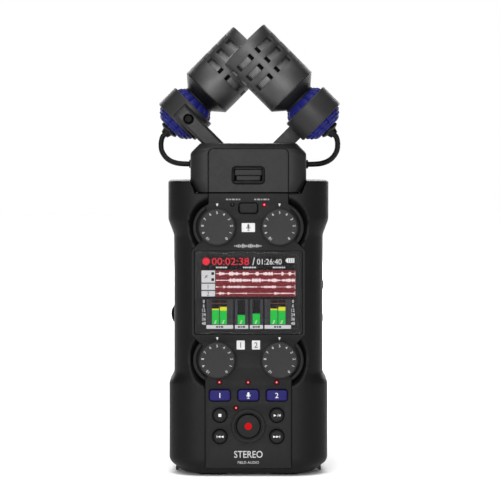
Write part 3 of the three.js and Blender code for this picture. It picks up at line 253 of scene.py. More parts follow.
def softened(points, radius, steps=4, turn=12):
    """The closed outline with its corners rounded, where it turns by more than some degrees."""
    count = len(points)
    soft = []
    for i, point in enumerate(points):
        here = Vector(point)
        before = Vector(points[i - 1]) - here
        after = Vector(points[(i + 1) % count]) - here
        if math.degrees(math.pi - before.angle(after)) < turn:
            soft.append(tuple(point))
            continue
        reach = min(radius, before.length * 0.48, after.length * 0.48)
        start = here + before.normalized() * reach
        end = here + after.normalized() * reach
        for k in range(steps + 1):
            t = k / steps
            soft.append(tuple((1 - t) ** 2 * start + 2 * t * (1 - t) * here + t**2 * end))
    return soft


def turned(profile, sides=96, radial=None):
    """Solid of revolution about Z from [radius, place] pairs.

    The profile starts and ends on the axis, or else it is a closed outline beside it.
    """
    rings = []
    for radius, place in profile:
        ring = []
        for i in range(sides):
            angle = i * TAU / sides
            out = radial(radius, place, angle) if radial else radius
            ring.append((out * math.cos(angle), out * math.sin(angle), place))
        rings.append(ring)
    if profile[0][0] > 1e-6:
        return loft(rings, closed=True)
    rings = rings[1:-1]
    verts = [(0, 0, profile[0][1]), (0, 0, profile[-1][1])]
    verts += [point for ring in rings for point in ring]
    last = len(verts) - sides
    faces = []
    for i in range(sides):
        k = (i + 1) % sides
        faces.append((0, 2 + k, 2 + i))
        faces.append((1, last + i, last + k))
        for here in range(2, last, sides):
            faces.append((here + i, here + k, here + sides + k, here + sides + i))
    return mesh_of(verts, faces)


def plate(outlines, y0, y1, bevel=0.12, steps=2):
    """Plate between two depths whose outlines, holes among them, are drawn from the front."""
    bevel = min(bevel, (y1 - y0) * 0.45)
    curve = bpy.data.curves.new("plate", "CURVE")
    curve.dimensions = "2D"
    curve.fill_mode = "BOTH"
    curve.extrude = ((y1 - y0) / 2 - bevel) * MM
    curve.bevel_depth = bevel * MM
    curve.bevel_resolution = steps
    curve.offset = -bevel * MM
    for outline in outlines:
        spline = curve.splines.new("POLY")
        spline.points.add(len(outline) - 1)
        for point, (x, z) in zip(spline.points, outline):
            point.co = (x * MM, z * MM, 0, 1)
        spline.use_cyclic_u = True
    return welded(facing(baked(linked(curve)), 0, (y0 + y1) / 2, 0), 1e-6)


def box(x0, x1, y0, y1, z0, z1):
    ring = [(x0, y0), (x1, y0), (x1, y1), (x0, y1)]
    return loft([[(x, y, z) for x, y in ring] for z in (z0, z1)])


def circle(x, z, radius, start=0.0, end=TAU, steps=64):
    """Points round a circle, or along an arc with both its ends."""
    count = steps if abs(end - start - TAU) < 1e-6 else steps + 1
    angles = [start + (end - start) * i / steps for i in range(count)]
    return [(x + radius * math.cos(a), z + radius * math.sin(a)) for a in angles]


def rounded_plan(half_x, low, high, reach_x, reach_y, corner_steps, straight_steps=(1, 1)):
    """Straight sides joined by quarter ellipses; the long and the short sides are cut in steps."""
    corners = []
    for quarter, (side_x, side_y) in enumerate(CORNERS):
        middle_x = side_x * (half_x - reach_x)
        middle_y = (high if side_y > 0 else low) - side_y * reach_y
        angles = [(quarter + i / corner_steps) * QUARTER for i in range(corner_steps + 1)]
        corners.append([(middle_x + reach_x * math.cos(a), middle_y + reach_y * math.sin(a))
                        for a in angles])
    points = []
    for corner, following, steps in zip(corners, corners[1:] + corners[:1], straight_steps * 2):
        (x0, y0), (x1, y1) = corner[-1], following[0]
        points += corner
        points += [(x0 + (x1 - x0) * i / steps, y0 + (y1 - y0) * i / steps)
                   for i in range(1, steps)]
    return points


def rounded_box(x, z, half_x, half_z, radius, steps=6):
    outline = rounded_plan(half_x, -half_z, half_z, radius, radius, steps)
    return [(x + across, z + up) for across, up in outline]


def stepped(levels, z, ease):
    """Values at a height on straight runs between levels, with the turns eased."""
    def straight(at):
        at = min(max(at, levels[0][0]), levels[-1][0])
        for start, end in zip(levels, levels[1:]):
            if at <= end[0]:
                share = (at - start[0]) / (end[0] - start[0])
                return [a + (b - a) * share for a, b in zip(start[1:], end[1:])]

    samples = [straight(z + ease * k / 3) for k in range(-3, 4)]
    return [sum(values) / len(samples) for values in zip(*samples)]


def rod(radius, start, end, sides=48):
    """Round bar between two points."""
    start, end = Vector(start), Vector(end)
    length = (end - start).length
    mesh = turned([(0, 0), (radius, 0), (radius, length), (0, length)], sides)
    turn = Vector((0, 0, 1)).rotation_difference(end - start).to_matrix().to_4x4()
    return moved(mesh, Matrix.Translation(start) @ turn)


def tube(points, radius, sides, steps):
    """Tube of even thickness along a smooth line through the points."""
    line = smooth_line(points, steps)
    rings = []
    normal = None
    for i, point in enumerate(line):
        tangent = (line[min(i + 1, len(line) - 1)] - line[max(i - 1, 0)]).normalized()
        if normal is None:
            normal = tangent.orthogonal().normalized()
        normal = (normal - tangent * normal.dot(tangent)).normalized()
        across = tangent.cross(normal)
        angles = [k * TAU / sides for k in range(sides)]
        rings.append([point + radius * (math.cos(a) * normal + math.sin(a) * across)
                      for a in angles])
    return loft(rings)


def smooth_line(points, steps):
    points = [Vector(point) for point in points]
    padded = [2 * points[0] - points[1], *points, 2 * points[-1] - points[-2]]
    line = []
    for a, b, c, d in zip(padded, padded[1:], padded[2:], padded[3:]):
        for k in range(steps):
            t = k / steps
            bend = (2 * a - 5 * b + 4 * c - d) * t * t + (3 * b - a - 3 * c + d) * t**3
            line.append(0.5 * (2 * b + (c - a) * t + bend))
    line.append(points[-1])
    return line


def piece(name, mesh, look, body, replaces=(), angle=32):
    """A finished piece: smoothed up to an angle, with its material and the body it rides on.
    """
    mesh.name = name
    mesh.materials.clear()
    mesh.materials.append(look)
    mesh.shade_smooth()
    mesh.set_sharp_from_angle(angle=math.radians(angle))
    obj = bpy.data.objects.new(name, mesh)
    scene.collection.objects.link(obj)
    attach(obj, body)
    if replaces:
        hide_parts(*replaces)
    return obj


# ---------------------------------------------------------------- materials
def new_material(name, colour, roughness, **sockets):
    look = bpy.data.materials.new(name)
    look.use_nodes = True
    shader = shader_of(look)
    shader.inputs["Base Color"].default_value = (*colour, 1)
    shader.inputs["Roughness"].default_value = roughness
    for socket, value in sockets.items():
        shader.inputs[socket.replace("_", " ")].default_value = value
    return look


def shader_of(look):
    return look.node_tree.nodes["Principled BSDF"]


def node(look, kind, **values):
    made = look.node_tree.nodes.new(kind)
    for key, value in values.items():
        if key in made.inputs:
            made.inputs[key].default_value = value
        else:
            setattr(made, key, value)
    return made


def link(look, start, end):
    look.node_tree.links.new(start, end)


def noise(look, size, detail=3.0):
    """Noise whose features are about the given size in millimetres."""
    place = node(look, "ShaderNodeTexCoord")
    grain = node(look, "ShaderNodeTexNoise", Scale=1 / (size * MM), Detail=detail, Roughness=0.55)
    link(look, place.outputs["Object"], grain.inputs["Vector"])
    return grain.outputs["Fac"]


def uneven_sheen(look, size, low, high):
    """Roughness that drifts between two values."""
    spread = node(look, "ShaderNodeMapRange")
    for socket, value in (("From Min", 0.3), ("From Max", 0.7), ("To Min", low), ("To Max", high)):
        spread.inputs[socket].default_value = value
    link(look, noise(look, size), spread.inputs["Value"])
    link(look, spread.outputs["Result"], shader_of(look).inputs["Roughness"])


def tinted(look, source, dark, light, span=(0.3, 0.7), socket="Base Color"):
    """A colour between two, chosen by the source."""
    ramp = node(look, "ShaderNodeValToRGB")
    for element, place, colour in zip(ramp.color_ramp.elements, span, (dark, light)):
        element.position = place
        element.color = (*colour, 1)
    link(look, source, ramp.inputs["Fac"])
    link(look, ramp.outputs["Color"], shader_of(look).inputs[socket])


def bumped(look, source, strength, depth, edge=0.0):
    """Bumps in the surface, over edges eased by a small radius."""
    bump = node(look, "ShaderNodeBump", Strength=strength, Distance=depth * MM)
    link(look, source, bump.inputs["Height"])
    if edge:
        ease = node(look, "ShaderNodeBevel", Radius=edge * MM, samples=6)
        link(look, ease.outputs["Normal"], bump.inputs["Normal"])
    link(look, bump.outputs["Normal"], shader_of(look).inputs["Normal"])


def plastic(name, colour, roughness, grain=0.25, strength=0.35, edge=0.0, shine=0.25):
    """Moulded plastic: fine grain, faint cloudiness in colour and sheen."""
    look = new_material(name, colour, roughness, Specular_IOR_Level=shine)
    tinted(look, noise(look, 9, 5), [c * 0.88 for c in colour], [c * 1.12 for c in colour])
    uneven_sheen(look, 1.2, roughness - 0.04, roughness + 0.04)
    bumped(look, noise(look, grain, 4), strength, 0.02, edge)
    return look


def metal(name, colour, roughness, edge=0.0):
    look = new_material(name, colour, roughness, Metallic=1.0)
    tinted(look, noise(look, 4, 4), [c * 0.92 for c in colour], [c * 1.08 for c in colour])
    uneven_sheen(look, 0.8, roughness - 0.02, roughness + 0.02)
    bumped(look, noise(look, 0.12, 4), 0.15, 0.01, edge)
    return look


def printing(name, value):
    return plastic(name, grey(value), 0.6, grain=0.15, strength=0.1)


def glowing(name, colour, strength=1.0):
    """A lit patch of the display or a lamp, with the faint unevenness of a backlight; it also paints
    a glow on the record button's printed dot.
    """
    black = (0.0, 0.0, 0.0)
    look = new_material(name, black, 0.5, Specular_IOR_Level=0.05, Emission_Strength=strength)
    dark = [c * 0.93 for c in colour]
    tinted(look, noise(look, 6, 2), dark, colour, (0, 1), "Emission Color")
    return look


def grey(value):
    """Linear colour of an 8-bit grey."""
    share = value / 255
    return (share / 12.92 if share <= 0.04045 else ((share + 0.055) / 1.055) ** 2.4,) * 3


def tone(red, green, blue):
    return tuple(grey(value)[0] for value in (red, green, blue))


def mesh_material():
    """Woven wire: two crossed families of thin bright strands, with painted shade for the holes
    between them.
    """
    pitch = 0.6
    look = new_material("mesh_steel", grey(100), 0.5, Metallic=1.0)
    place = node(look, "ShaderNodeTexCoord")
    weave = node(look, "ShaderNodeMath", operation="MAXIMUM")
    for i, axis in enumerate("XZ"):
        wave = node(look, "ShaderNodeTexWave", bands_direction=axis, Scale=TAU / (20 * pitch * MM))
        turn = node(look, "ShaderNodeMapping", Rotation=(0, math.pi / 4, 0))
        link(look, place.outputs["Object"], turn.inputs["Vector"])
        link(look, turn.outputs["Vector"], wave.inputs["Vector"])
        link(look, wave.outputs["Fac"], weave.inputs[i])
    # The darker colour between the strands is painted shade for the holes.
    tinted(look, weave.outputs["Value"], grey(40), grey(125), (0.25, 0.75))
    bumped(look, weave.outputs["Value"], 0.6, 0.1)
    return look


def glass_material():
    """Clear sheet with a faint sheen."""
    look = new_material("screen_glass", grey(8), 0.06, Alpha=0.04, Specular_IOR_Level=0.8)
    uneven_sheen(look, 14, 0.04, 0.08)
    return look


SHELL_LOOK = plastic("shell_plastic", grey(9), 0.5, edge=0.4, shine=0.14)
PANEL_LOOK = plastic("panel_plastic", grey(17), 0.6, edge=0.15, shine=0.17)
HOUSING_LOOK = plastic("housing_plastic", grey(24), 0.5, edge=0.3, shine=0.18)
CONTROL_LOOK = plastic("control_plastic", grey(27), 0.6, grain=0.2, strength=0.2)
BLACK_LOOK = plastic("black_plastic", grey(9), 0.5, strength=0.25, edge=0.1, shine=0.08)
# Painted shade: a near-black laid where there is only shade, in gaps, slots and hollows.
GAP_SHADE_LOOK = plastic("shadow_plastic", grey(5), 0.8, shine=0.05)
BLUE_LOOK = plastic("blue_plastic", tone(25, 21, 82), 0.5, grain=0.2, strength=0.2, shine=0.12)
RUBBER_LOOK = plastic("blue_rubber", tone(15, 19, 88), 0.55, grain=0.35, strength=0.3, shine=0.15)
MOUNT_LOOK = plastic("mount_plastic", grey(32), 0.48, edge=0.2)
# Painted highlight: lighter grey for the light caught on the ends of the mount rings.
RIM_HIGHLIGHT_LOOK = plastic("rim_highlight_plastic", grey(58), 0.5, edge=0.05)
ARM_LOOK = plastic("arm_plastic", grey(24), 0.48, edge=0.2)
LEAD_LOOK = plastic("lead_rubber", grey(12), 0.5, grain=0.3, strength=0.2, shine=0.15)
STEM_LOOK = plastic("stem_black", grey(10), 0.45, strength=0.2)
BOARD_LOOK = plastic("circuit_board", tone(10, 30, 20), 0.5, shine=0.15)
MASK_LOOK = plastic("screen_border", grey(20), 0.5, strength=0.05, shine=0.1)
HEAD_LOOK = metal("mic_metal", grey(78), 0.54, edge=0.08)
SCREW_LOOK = metal("screw_steel", grey(9), 0.25)
STEEL_LOOK = metal("port_steel", grey(170), 0.3)
BRASS_LOOK = metal("brass", tone(190, 150, 90), 0.35)
CELL_LOOK = metal("cell_wrap", grey(150), 0.4)
PRINT_LOOK = printing("print_grey", 168)
PRINT_BRIGHT = printing("print_bright", 205)
PRINT_SOFT = printing("print_soft", 120)
LABEL_LOOK = printing("label_grey", 190)
MARK_LOOK = printing("label_mark", 60)
# Painted light: the red dot printed on the record button is made to glow.
RED_GLOW_PRINT = glowing("record_red_glow", tone(236, 6, 18), 0.75)
LAMP_ON = glowing("lamp_lit", tone(255, 40, 60))
LAMP_CORE = glowing("lamp_core", tone(255, 190, 200))
LAMP_RED = glowing("lamp_red", tone(130, 14, 24))
LAMP_OFF = plastic("lamp_dark", grey(12), 0.25, strength=0.05)
MESH_LOOK = mesh_material()
GLASS_LOOK = glass_material()


# ---------------------------------------------------------------- body form
BODY_FORM = [  # height, half width, share of the full depth
    (BASE, FOOT - 6, 0.9),
    (BASE + 1.8, FOOT - 3.6, 0.95),
    (BASE + 3.9, FOOT - 0.8, 0.985),
    (BASE + 5.7, FOOT, 1),
    (40, FOOT, 1),
    (44, WAIST, 1),
    (DECK - 17.9, WAIST, 1),
    (DECK - 11.4, SHOULDER, 1),
    (TOP, SHOULDER, 1),
]
BASE_ROUND = 0.6
TOP_ROUND = 0.7
SCOOP_WALL = 1.2
PAD_RADIUS = 29
PAD_CHORD = 9.6
PAD_FLAT = 3.8
PAD_DEPTH = 13.5
NOTCH_SLOPE = 4.75
JACK_HOLE = 11.1


def form_at(z):
    """Half width of the body and its share of the full depth at a height."""
    return stepped(BODY_FORM, z, 0.7 if z >= BASE + BASE_ROUND else 0.0)


def plan(inset, corner_steps, straight_steps):
    """The body's plan at the shoulders: flat sides joined by quarter ellipses."""
    half_y = BACK - inset
    return rounded_plan(SHOULDER - inset, -half_y, half_y, CORNER_X - inset, CORNER_Y - inset,
                        corner_steps, straight_steps)


def scooped(x, y, z):
    """The surface pressed into a conical hollow round each knob."""
    if y > -10:
        return y
    ease = 0.7
    floor = PANEL_BACK + 0.3
    for knob_z in KNOB_HEIGHTS:
        reach = math.hypot(abs(x) - KNOB.middle.x, z - knob_z)
        if reach > SCOOP + 2:
            continue
        rise = (reach - GUARD_OUTER - 0.3) / (SCOOP - GUARD_OUTER - 0.3)
        cone = floor + (FRONT - 0.3 - floor) * rise
        y = (y + cone + math.sqrt((y - cone) ** 2 + ease**2)) / 2
        if cone < FRONT:
            y -= 0.5 * (math.sqrt(ease**2 + (FRONT - cone) ** 2) - abs(FRONT - cone))
    return y


def levels_between(low, high, step):
    levels = [low]
    while levels[-1] + step < high:
        levels.append(levels[-1] + step)
    return levels


def body_solid():
    outline = plan(0, 26, (60, 8))
    sections = []
    levels = [BASE, BASE + 0.25, BASE + BASE_ROUND]
    for z in [*levels, *levels_between(BASE + 1.1, TOP - TOP_ROUND, 0.75)]:
        half, share = form_at(z)
        inset = 0.3 * (1 - min(1, (z - BASE) / BASE_ROUND))
        sections.append((z, (half - inset) / SHOULDER, share * (BACK - inset) / BACK))
    for k in range(6):
        angle = k / 5 * QUARTER
        inset = TOP_ROUND * (1 - math.cos(angle))
        z = TOP - TOP_ROUND + TOP_ROUND * math.sin(angle)
        sections.append((z, (SHOULDER - inset) / SHOULDER, (BACK - inset) / BACK))
    return loft([[(x * wide, scooped(x * wide, y * deep, z), z) for x, y in outline]
                 for z, wide, deep in sections])


def body_hollow():
    """Room inside the shells, kept a thin wall away from the hollows round the knobs."""
    outline = plan(WALL, 14, (14, 2))
    rings = []
    for z in [*levels_between(BASE + WALL, DECK - WALL, 1.5), DECK - WALL]:
        half, share = form_at(z)
        wide = (half - WALL) / (SHOULDER - WALL)
        ring = []
        for x, y in outline:
            inner = y * share
            if inner < -10:
                inner = max(inner, scooped(x * wide, -BACK * share, z) + SCOOP_WALL)
            ring.append((x * wide, inner, z))
        rings.append(ring)
    return loft(rings)


def pad_solid(side):
    """Rounded pad under an input jack, flat in its middle."""
    middle_x = side * JACK_X
    middle_z = math.sqrt(PAD_RADIUS**2 - PAD_FLAT**2)
    edge, flat_end = math.asin(PAD_CHORD / PAD_RADIUS), math.asin(PAD_FLAT / PAD_RADIUS)
    outline = []
    for start, end in ((-edge, -flat_end), (flat_end, edge)):
        outline += circle(middle_x, middle_z, PAD_RADIUS, start - QUARTER, end - QUARTER, 8)
    outline += [(middle_x + PAD_CHORD, BASE + WALL), (middle_x - PAD_CHORD, BASE + WALL)]
    return plate([outline], -PAD_DEPTH, PAD_DEPTH, 0.5, 3)


# ---------------------------------------------------------------- shells and front panel
def channel_half(z):
    """Half width of the panel at a height."""
    half = LOWER_CHANNEL if z < LOWER_CHANNEL_TOP else CHANNEL
    for knob_z in KNOB_HEIGHTS:
        if abs(z - knob_z) < GUARD_OUTER:
            bulge = math.sqrt(GUARD_OUTER**2 - (z - knob_z) ** 2)
            half = max(half, KNOB.middle.x + bulge)
    if PLATEAU_LOW <= z <= PLATEAU_HIGH:
        from_end = min(z - PLATEAU_LOW, PLATEAU_HIGH - z)
        half = max(half, PLATEAU - max(0, PLATEAU_CORNER - from_end))
    return half


def panel_outline(grow, bottom, top):
    """The panel's outline, let out by a gap all round."""
    turns = [LOWER_CHANNEL_TOP, PLATEAU_LOW, PLATEAU_LOW + PLATEAU_CORNER,
             PLATEAU_HIGH - PLATEAU_CORNER, PLATEAU_HIGH]
    levels = [bottom, *turns, top]
    z = bottom
    while z < top - 0.4:
        z += 0.4
        near_knob = any(abs(z - knob_z) < GUARD_OUTER + 0.6 for knob_z in KNOB_HEIGHTS)
        if near_knob and min(abs(z - level) for level in levels) > 0.15:
            levels.append(z)
    right = [Vector((channel_half(z), z)) for z in sorted(levels)]
    grown = []
    for i, point in enumerate(right):
        across = Vector((0.0, 0.0))
        for step in (point - right[max(i - 1, 0)], right[min(i + 1, len(right) - 1)] - point):
            if step.length > 1e-6:
                across += Vector((step.y, -step.x)).normalized()
        grown.append(point + across.normalized() * grow)
    grown[0].y = bottom - grow
    grown[-1].y = top + grow
    return [tuple(point) for point in grown] + [(-point.x, point.y) for point in reversed(grown)]


def notch_solid():
    """Space over the deck that the capsule drops into, with a chamfer along its front edge."""
    rings = []
    for grow, y in ((0.5, FRONT - 1), (0.5, FRONT), (0, FRONT + 0.6), (0, FAR)):
        low = HOUSING.half.x - 2.2 + grow
        high = HOUSING.half.x + 0.3 + grow
        seat = HOUSING.low.z + NOTCH_SLOPE
        right = [(low, DECK - grow), (high, seat), (high, DECK + FAR)]
        outline = right + [(-x, z) for x, z in reversed(right)]
        rings.append([(x, y, z) for x, z in outline[-1:] + outline[:-1]])
    return loft(rings)


BUTTONS = [
    "format_button", "track_button_1", "track_button_mic", "track_button_2",
    "stop_button", "play_button", "rewind_button", "forward_button", "record_button",
]
BUTTON_GAP = 0.45
FLANGE = 0.8
SHAFT_HOLE = 3.3


def button_face(name):
    """A button's middle, the half size of its face inside its flange, and if the face is round."""
    span = Span(name)
    half_x, half_z = span.half.x - FLANGE, span.half.z - FLANGE
    return span.middle.x, span.middle.z, half_x, half_z, abs(half_x - half_z) < 0.3


def button_outline(name, grow):
    x, z, half_x, half_z, is_round = button_face(name)
    if is_round:
        return circle(x, z, half_x + grow, steps=72)
    return rounded_box(x, z, half_x + grow, half_z + grow, 1 + grow)


def make_shells():
    solid = carved(body_solid(), [pad_solid(side) for side in (-1, 1)], "UNION")
    jack_holes = [rod(JACK_HOLE, (side * JACK_X, 0, -5), (side * JACK_X, 0, BASE + 2 * WALL), 96)
                  for side in (-1, 1)]
    blank = carved(solid, [body_hollow(), notch_solid(), *jack_holes])
    inside = WAIST - WALL - 1
    wheel_z = Span("headphone_thumbwheel").middle.z
    jog_z = Span("jog_wheel").middle.z
    line_z = Span("line_jack").middle.z
    slider, cover, usb = Span("power_slider"), Span("port_cover"), Span("usb_port")
    socket = Span("capsule_socket")
    cutters = [
        box(-FAR, FAR, SPLIT - SEAM, FAR, -FAR, 4 * FAR),
        plate([panel_outline(PANEL_GAP, PANEL.low.z, DECK + 30)], -FAR, PANEL_BACK + 0.3, 0),
        box(-FAR, -inside, -2.35, 2.35, wheel_z - 5, wheel_z + 5),
        box(inside, FAR, -2.35, 2.35, jog_z - 4.6, jog_z + 4.6),
        box(-FAR, -inside, -1.7, 1.7, slider.low.z - 2.3, slider.high.z + 2.3),
        box(cover.low.x - 0.3, FAR, cover.low.y - 0.25, cover.high.y + 0.25,
            cover.low.z - 0.25, cover.high.z + 0.25),
        box(inside - 1, FAR, usb.low.y - 0.3, usb.high.y + 0.3, usb.low.z - 0.3, usb.high.z + 0.3),
        rod(3.9, (-FAR, 0, line_z), (-inside, 0, line_z)),
        box(socket.low.x - 0.3, socket.high.x + 0.3, socket.low.y - 0.3, FAR, DECK - 6, DECK + 1),
        box(-2.8, 2.8, -17.5, -11.5, DECK - 6, DECK + 1),
    ]
    for name, side in SIDES.items():
        tab = Span("jack_release_" + name)
        across = sorted((side * (JACK_X + 10), side * FAR))
        cutters.append(box(*across, tab.low.y - 0.3, tab.high.y + 0.3, -5, tab.high.z + 0.3))
    piece("front_shell_skin", carved(blank.copy(), cutters), SHELL_LOOK, ROOT, ["front_shell"])
    lid, insert = Span("battery_cover"), Span("tripod_insert")
    bore = insert.half.x + 0.25
    cutters = [
        box(-FAR, FAR, -FAR, SPLIT + SEAM, -FAR, 4 * FAR),
        box(lid.low.x - 0.25, lid.high.x + 0.25, BACK - 3, FAR,
            lid.low.z - 0.25, lid.high.z + 0.25),
        rod(bore, (0, BACK - 3, insert.middle.z), (0, FAR, insert.middle.z), 64),
    ]
    for i in range(-2, 3):
        slot = rounded_box(0, Span("speaker").middle.z + i * 2.6, 7.5, 0.65, 0.6)
        cutters.append(plate([slot], BACK - 3, FAR, 0))
    piece("rear_shell_skin", carved(blank, cutters), SHELL_LOOK, ROOT, ["rear_shell"])


def guard_outline(side, knob_z, angles, inner, outer):
    start, end = (math.radians(angle) for angle in angles)
    if side > 0:
        start, end = math.pi - end, math.pi - start
    x = side * KNOB.middle.x
    return circle(x, knob_z, outer, start, end, 40) + circle(x, knob_z, inner, end, start, 40)


def make_panel():
    low, high = PANEL.low.z, PANEL.high.z
    half_x, half_z = GLASS.half.x + 0.18, GLASS.half.z + 0.18
    window = rounded_box(GLASS.middle.x, GLASS.middle.z, half_x, half_z, 1)
    holes = [button_outline(name, BUTTON_GAP) for name in BUTTONS]
    holes += [circle(side * KNOB.middle.x, z, SHAFT_HOLE, steps=32)
              for side in (-1, 1) for z in KNOB_HEIGHTS]
    bodies = [plate([panel_outline(0, low, high), window, *holes], PANEL_Y, PANEL_BACK, 0.14)]
    for side in (-1, 1):
        for z, angles in zip(KNOB_HEIGHTS, [(136, 238), (121, 222)]):
            outline = guard_outline(side, z, angles, GUARD_INNER, GUARD_OUTER - 0.02)
            bodies.append(plate([outline], PANEL_Y - GUARD_PROUD, PANEL_BACK - 0.5, 0.45, 4))
    piece("panel_skin", merged(bodies), PANEL_LOOK, ROOT, ["front_panel"])
    # Painted shade: a near-black sheet behind the gap round the panel, where there is only shade.
    edges = [panel_outline(grow, low, high) for grow in (1.2, -1.0)]
    gap_shade = plate(edges, PANEL_BACK + 0.35, PANEL_BACK + 0.9, 0)
    piece("panel_gasket", gap_shade, GAP_SHADE_LOOK, ROOT, ())


make_shells()
make_panel()


# ---------------------------------------------------------------- printed marks
PRINT_THICK = 0.03
CAPITAL_SHARE = 0.72  # of the font's size


def printed(name, meshes, face_y, look, body):
    """Ink of a hair's thickness on a face that looks forward; the shapes are drawn about y = 0."""
    sheet = moved(merged(meshes), shift(0, face_y - PRINT_THICK / 2, 0))
    piece(name, sheet, look, body, ())


def flat(outline):
    return plate([outline], -PRINT_THICK / 2, PRINT_THICK / 2, 0)


def bar(x0, x1, z0, z1):
    return [(x0, z0), (x1, z0), (x1, z1), (x0, z1)]


def lettering(text, height, x, z, turn=0.0, stretch=1.0, weight=0.0):
    """Characters of a capital height, centred on a place."""
    curve = bpy.data.curves.new("text", "FONT")
    curve.body = text
    curve.align_x = "CENTER"
    curve.align_y = "CENTER"
    curve.size = height / CAPITAL_SHARE * MM
    curve.offset = weight * MM
    curve.extrude = PRINT_THICK / 2 * MM
    curve.resolution_u = 3
    mesh = baked(linked(curve))
    ends = [(min(axis), max(axis)) for axis in zip(*(vertex.co for vertex in mesh.vertices))]
    mesh.transform(Matrix.Translation([-(low + high) / 2 for low, high in ends]))
    mesh.transform(Matrix.Diagonal((stretch, 1, 1, 1)))
    place = shift(x, 0, z) @ Matrix.Rotation(turn, 4, "Y") @ FACING
    return welded(moved(mesh, place))


def mic_symbol(x, z, height, width):
    """Small picture of a microphone: capsule, cradle, stem and foot."""
    unit = height / 4.2
    middle = z + 0.35 * unit
    capsule_half = 0.62 * unit * width
    cradle = circle(x, middle, 1.3 * unit, math.pi, TAU, 20)
    cradle += circle(x, middle, 0.98 * unit, TAU, math.pi, 20)
    return [flat(outline) for outline in (
        rounded_box(x, z + 0.75 * unit, capsule_half, 1.25 * unit, 0.6 * unit * width, 8),
        cradle,
        bar(x - 0.16 * unit, x + 0.16 * unit, z - 1.7 * unit, z - 0.9 * unit),
        bar(x - 0.8 * unit, x + 0.8 * unit, z - 2.0 * unit, z - 1.7 * unit),
    )]


def sound_bars(x0, x1, z, heights):
    """Row of upright bars, like a picture of a sound."""
    pitch = (x1 - x0) / len(heights)
    half = pitch / 4
    bars = [rounded_box(x0 + (i + 0.5) * pitch, z, half, height / 2, min(half, height / 2) * 0.9, 4)
            for i, height in enumerate(heights)]
    return [flat(outline) for outline in bars]


# ---------------------------------------------------------------- knobs
KNOBS = ["knob_upper_left", "knob_upper_right", "knob_lower_left", "knob_lower_right"]
TEETH = 84
NUMBER_RADIUS = 6.25
NUMBER_STEP = math.radians(28)
SHAFT_RADIUS = 3.0
SHAFT_LENGTH = 4.5


def knob_rim(out, place, angle):
    """Fine teeth that fade out towards the knob's face."""
    share = max(0.0, min(1.0, (out - KNOB_RADIUS + 0.5) / 0.4))
    return out - 0.05 * share * (1 - math.cos(TEETH * angle))


def make_knobs():
    radius = KNOB_RADIUS
    for name in KNOBS:
        span = Span(name)
        x, z, face = span.middle.x, span.middle.z, span.low.y
        back = PANEL_Y - 0.4
        depth = back - face
        profile = [
            (0, depth - 0.05), (radius - 1.3, depth - 0.05), (radius - 0.75, depth),
            (radius - 0.45, depth - 0.03), (radius - 0.12, depth - 0.22), (radius, depth - 0.55),
            (radius, 0.5), (radius - 0.3, 0), (SHAFT_RADIUS, 0), (SHAFT_RADIUS, -SHAFT_LENGTH),
            (0, -SHAFT_LENGTH),
        ]
        mesh = facing(turned(profile, TEETH * 4, knob_rim), x, back, z)
        piece(name + "_cap", mesh, CONTROL_LOOK, name, [name], angle=40)
        digits = []
        for number in range(11):
            angle = (5 - number) * NUMBER_STEP
            place = x + NUMBER_RADIUS * math.sin(angle), z + NUMBER_RADIUS * math.cos(angle)
            digits.append(lettering(str(number), 1.2, *place, turn=angle, weight=0.01))
        printed(name + "_numbers", digits, face + 0.05, PRINT_LOOK, name)


# ---------------------------------------------------------------- buttons
TRACK_NUMBERS = {"track_button_1": "1", "track_button_2": "2"}
# Black collar round a transport button: partly the dark gap round it, partly painted shade.
SHADE_COLLAR = [(2.42, -0.12), (2.86, -0.12), (2.9, 0.1), (2.9, 0.6), (2.42, 0.6)]


def triangle(x, z, way):
    return [(x - way * 0.6, z - 0.48), (x + way * 0.6, z), (x - way * 0.6, z + 0.48)]


def symbols(name, x, z):
    """The outlines of a transport button's sign."""
    if name == "stop_button":
        return [rounded_box(x, z, 0.62, 0.62, 0.05, 1)]
    if name == "play_button":
        arrow = [(x - 1.35, z - 0.52), (x - 0.15, z), (x - 1.35, z + 0.52)]
        slash = [(x + 0.2, z - 0.5), (x + 0.38, z - 0.5), (x + 0.72, z + 0.5), (x + 0.54, z + 0.5)]
        return [arrow, slash, *(rounded_box(x + d, z, 0.13, 0.42, 0.02, 1) for d in (1.05, 1.5))]
    way = -1 if name == "rewind_button" else 1
    return [triangle(x - way * 0.95, z, way), triangle(x + way * 0.35, z, way),
            rounded_box(x + way * 1.25, z, 0.11, 0.5, 0.02, 1)]


def make_buttons():
    for name in BUTTONS:
        x, z, *_, is_round = button_face(name)
        face = Span(name).low.y
        blue = name.startswith("track")
        top = plate([button_outline(name, 0)], face, PANEL_BACK + 0.8, 0.22 if is_round else 0.3, 4)
        rim = plate([button_outline(name, FLANGE)], PANEL_BACK + 0.3, PANEL_BACK + 1.2, 0.1)
        look, slot = (BLUE_LOOK, "blue_plastic") if blue else (PANEL_LOOK, "control_plastic")
        piece(name + "_cap", merged([top, rim]), look, name, [name], 40)
        if name == "format_button":
            continue
        if name == "record_button":
            printed("record_dot", [flat(circle(x, z, 1.55, steps=40))], face, RED_GLOW_PRINT, name)
            continue
        if name in TRACK_NUMBERS:
            marks = [lettering(TRACK_NUMBERS[name], 2.3, x, z)]
        elif blue:
            marks = mic_symbol(x, z, 2.9, 1.0)
        else:
            # The black collar is partly the dark gap round the button and partly painted shade.
            place = shift(x, face, z) @ Matrix.Rotation(-QUARTER, 4, "X")
            piece(name + "_collar", moved(turned(SHADE_COLLAR, 72), place), BLACK_LOOK, name)
            marks = [flat(outline) for outline in symbols(name, x, z)]
        printed(name + "_sign", marks, face, PRINT_BRIGHT, name)


def make_record_ring():
    span = Span("record_ring")
    outer, height = span.half.x, span.high.y - span.low.y
    inner = outer - 1.35
    profile = softened([(inner, 0), (outer, 0), (outer, height), (inner, height)], 0.38, 5)
    mesh = facing(turned(profile, 120), span.middle.x, span.high.y, span.middle.z)
    piece("record_ring_bezel", mesh, PANEL_LOOK, ROOT, ["record_ring"])


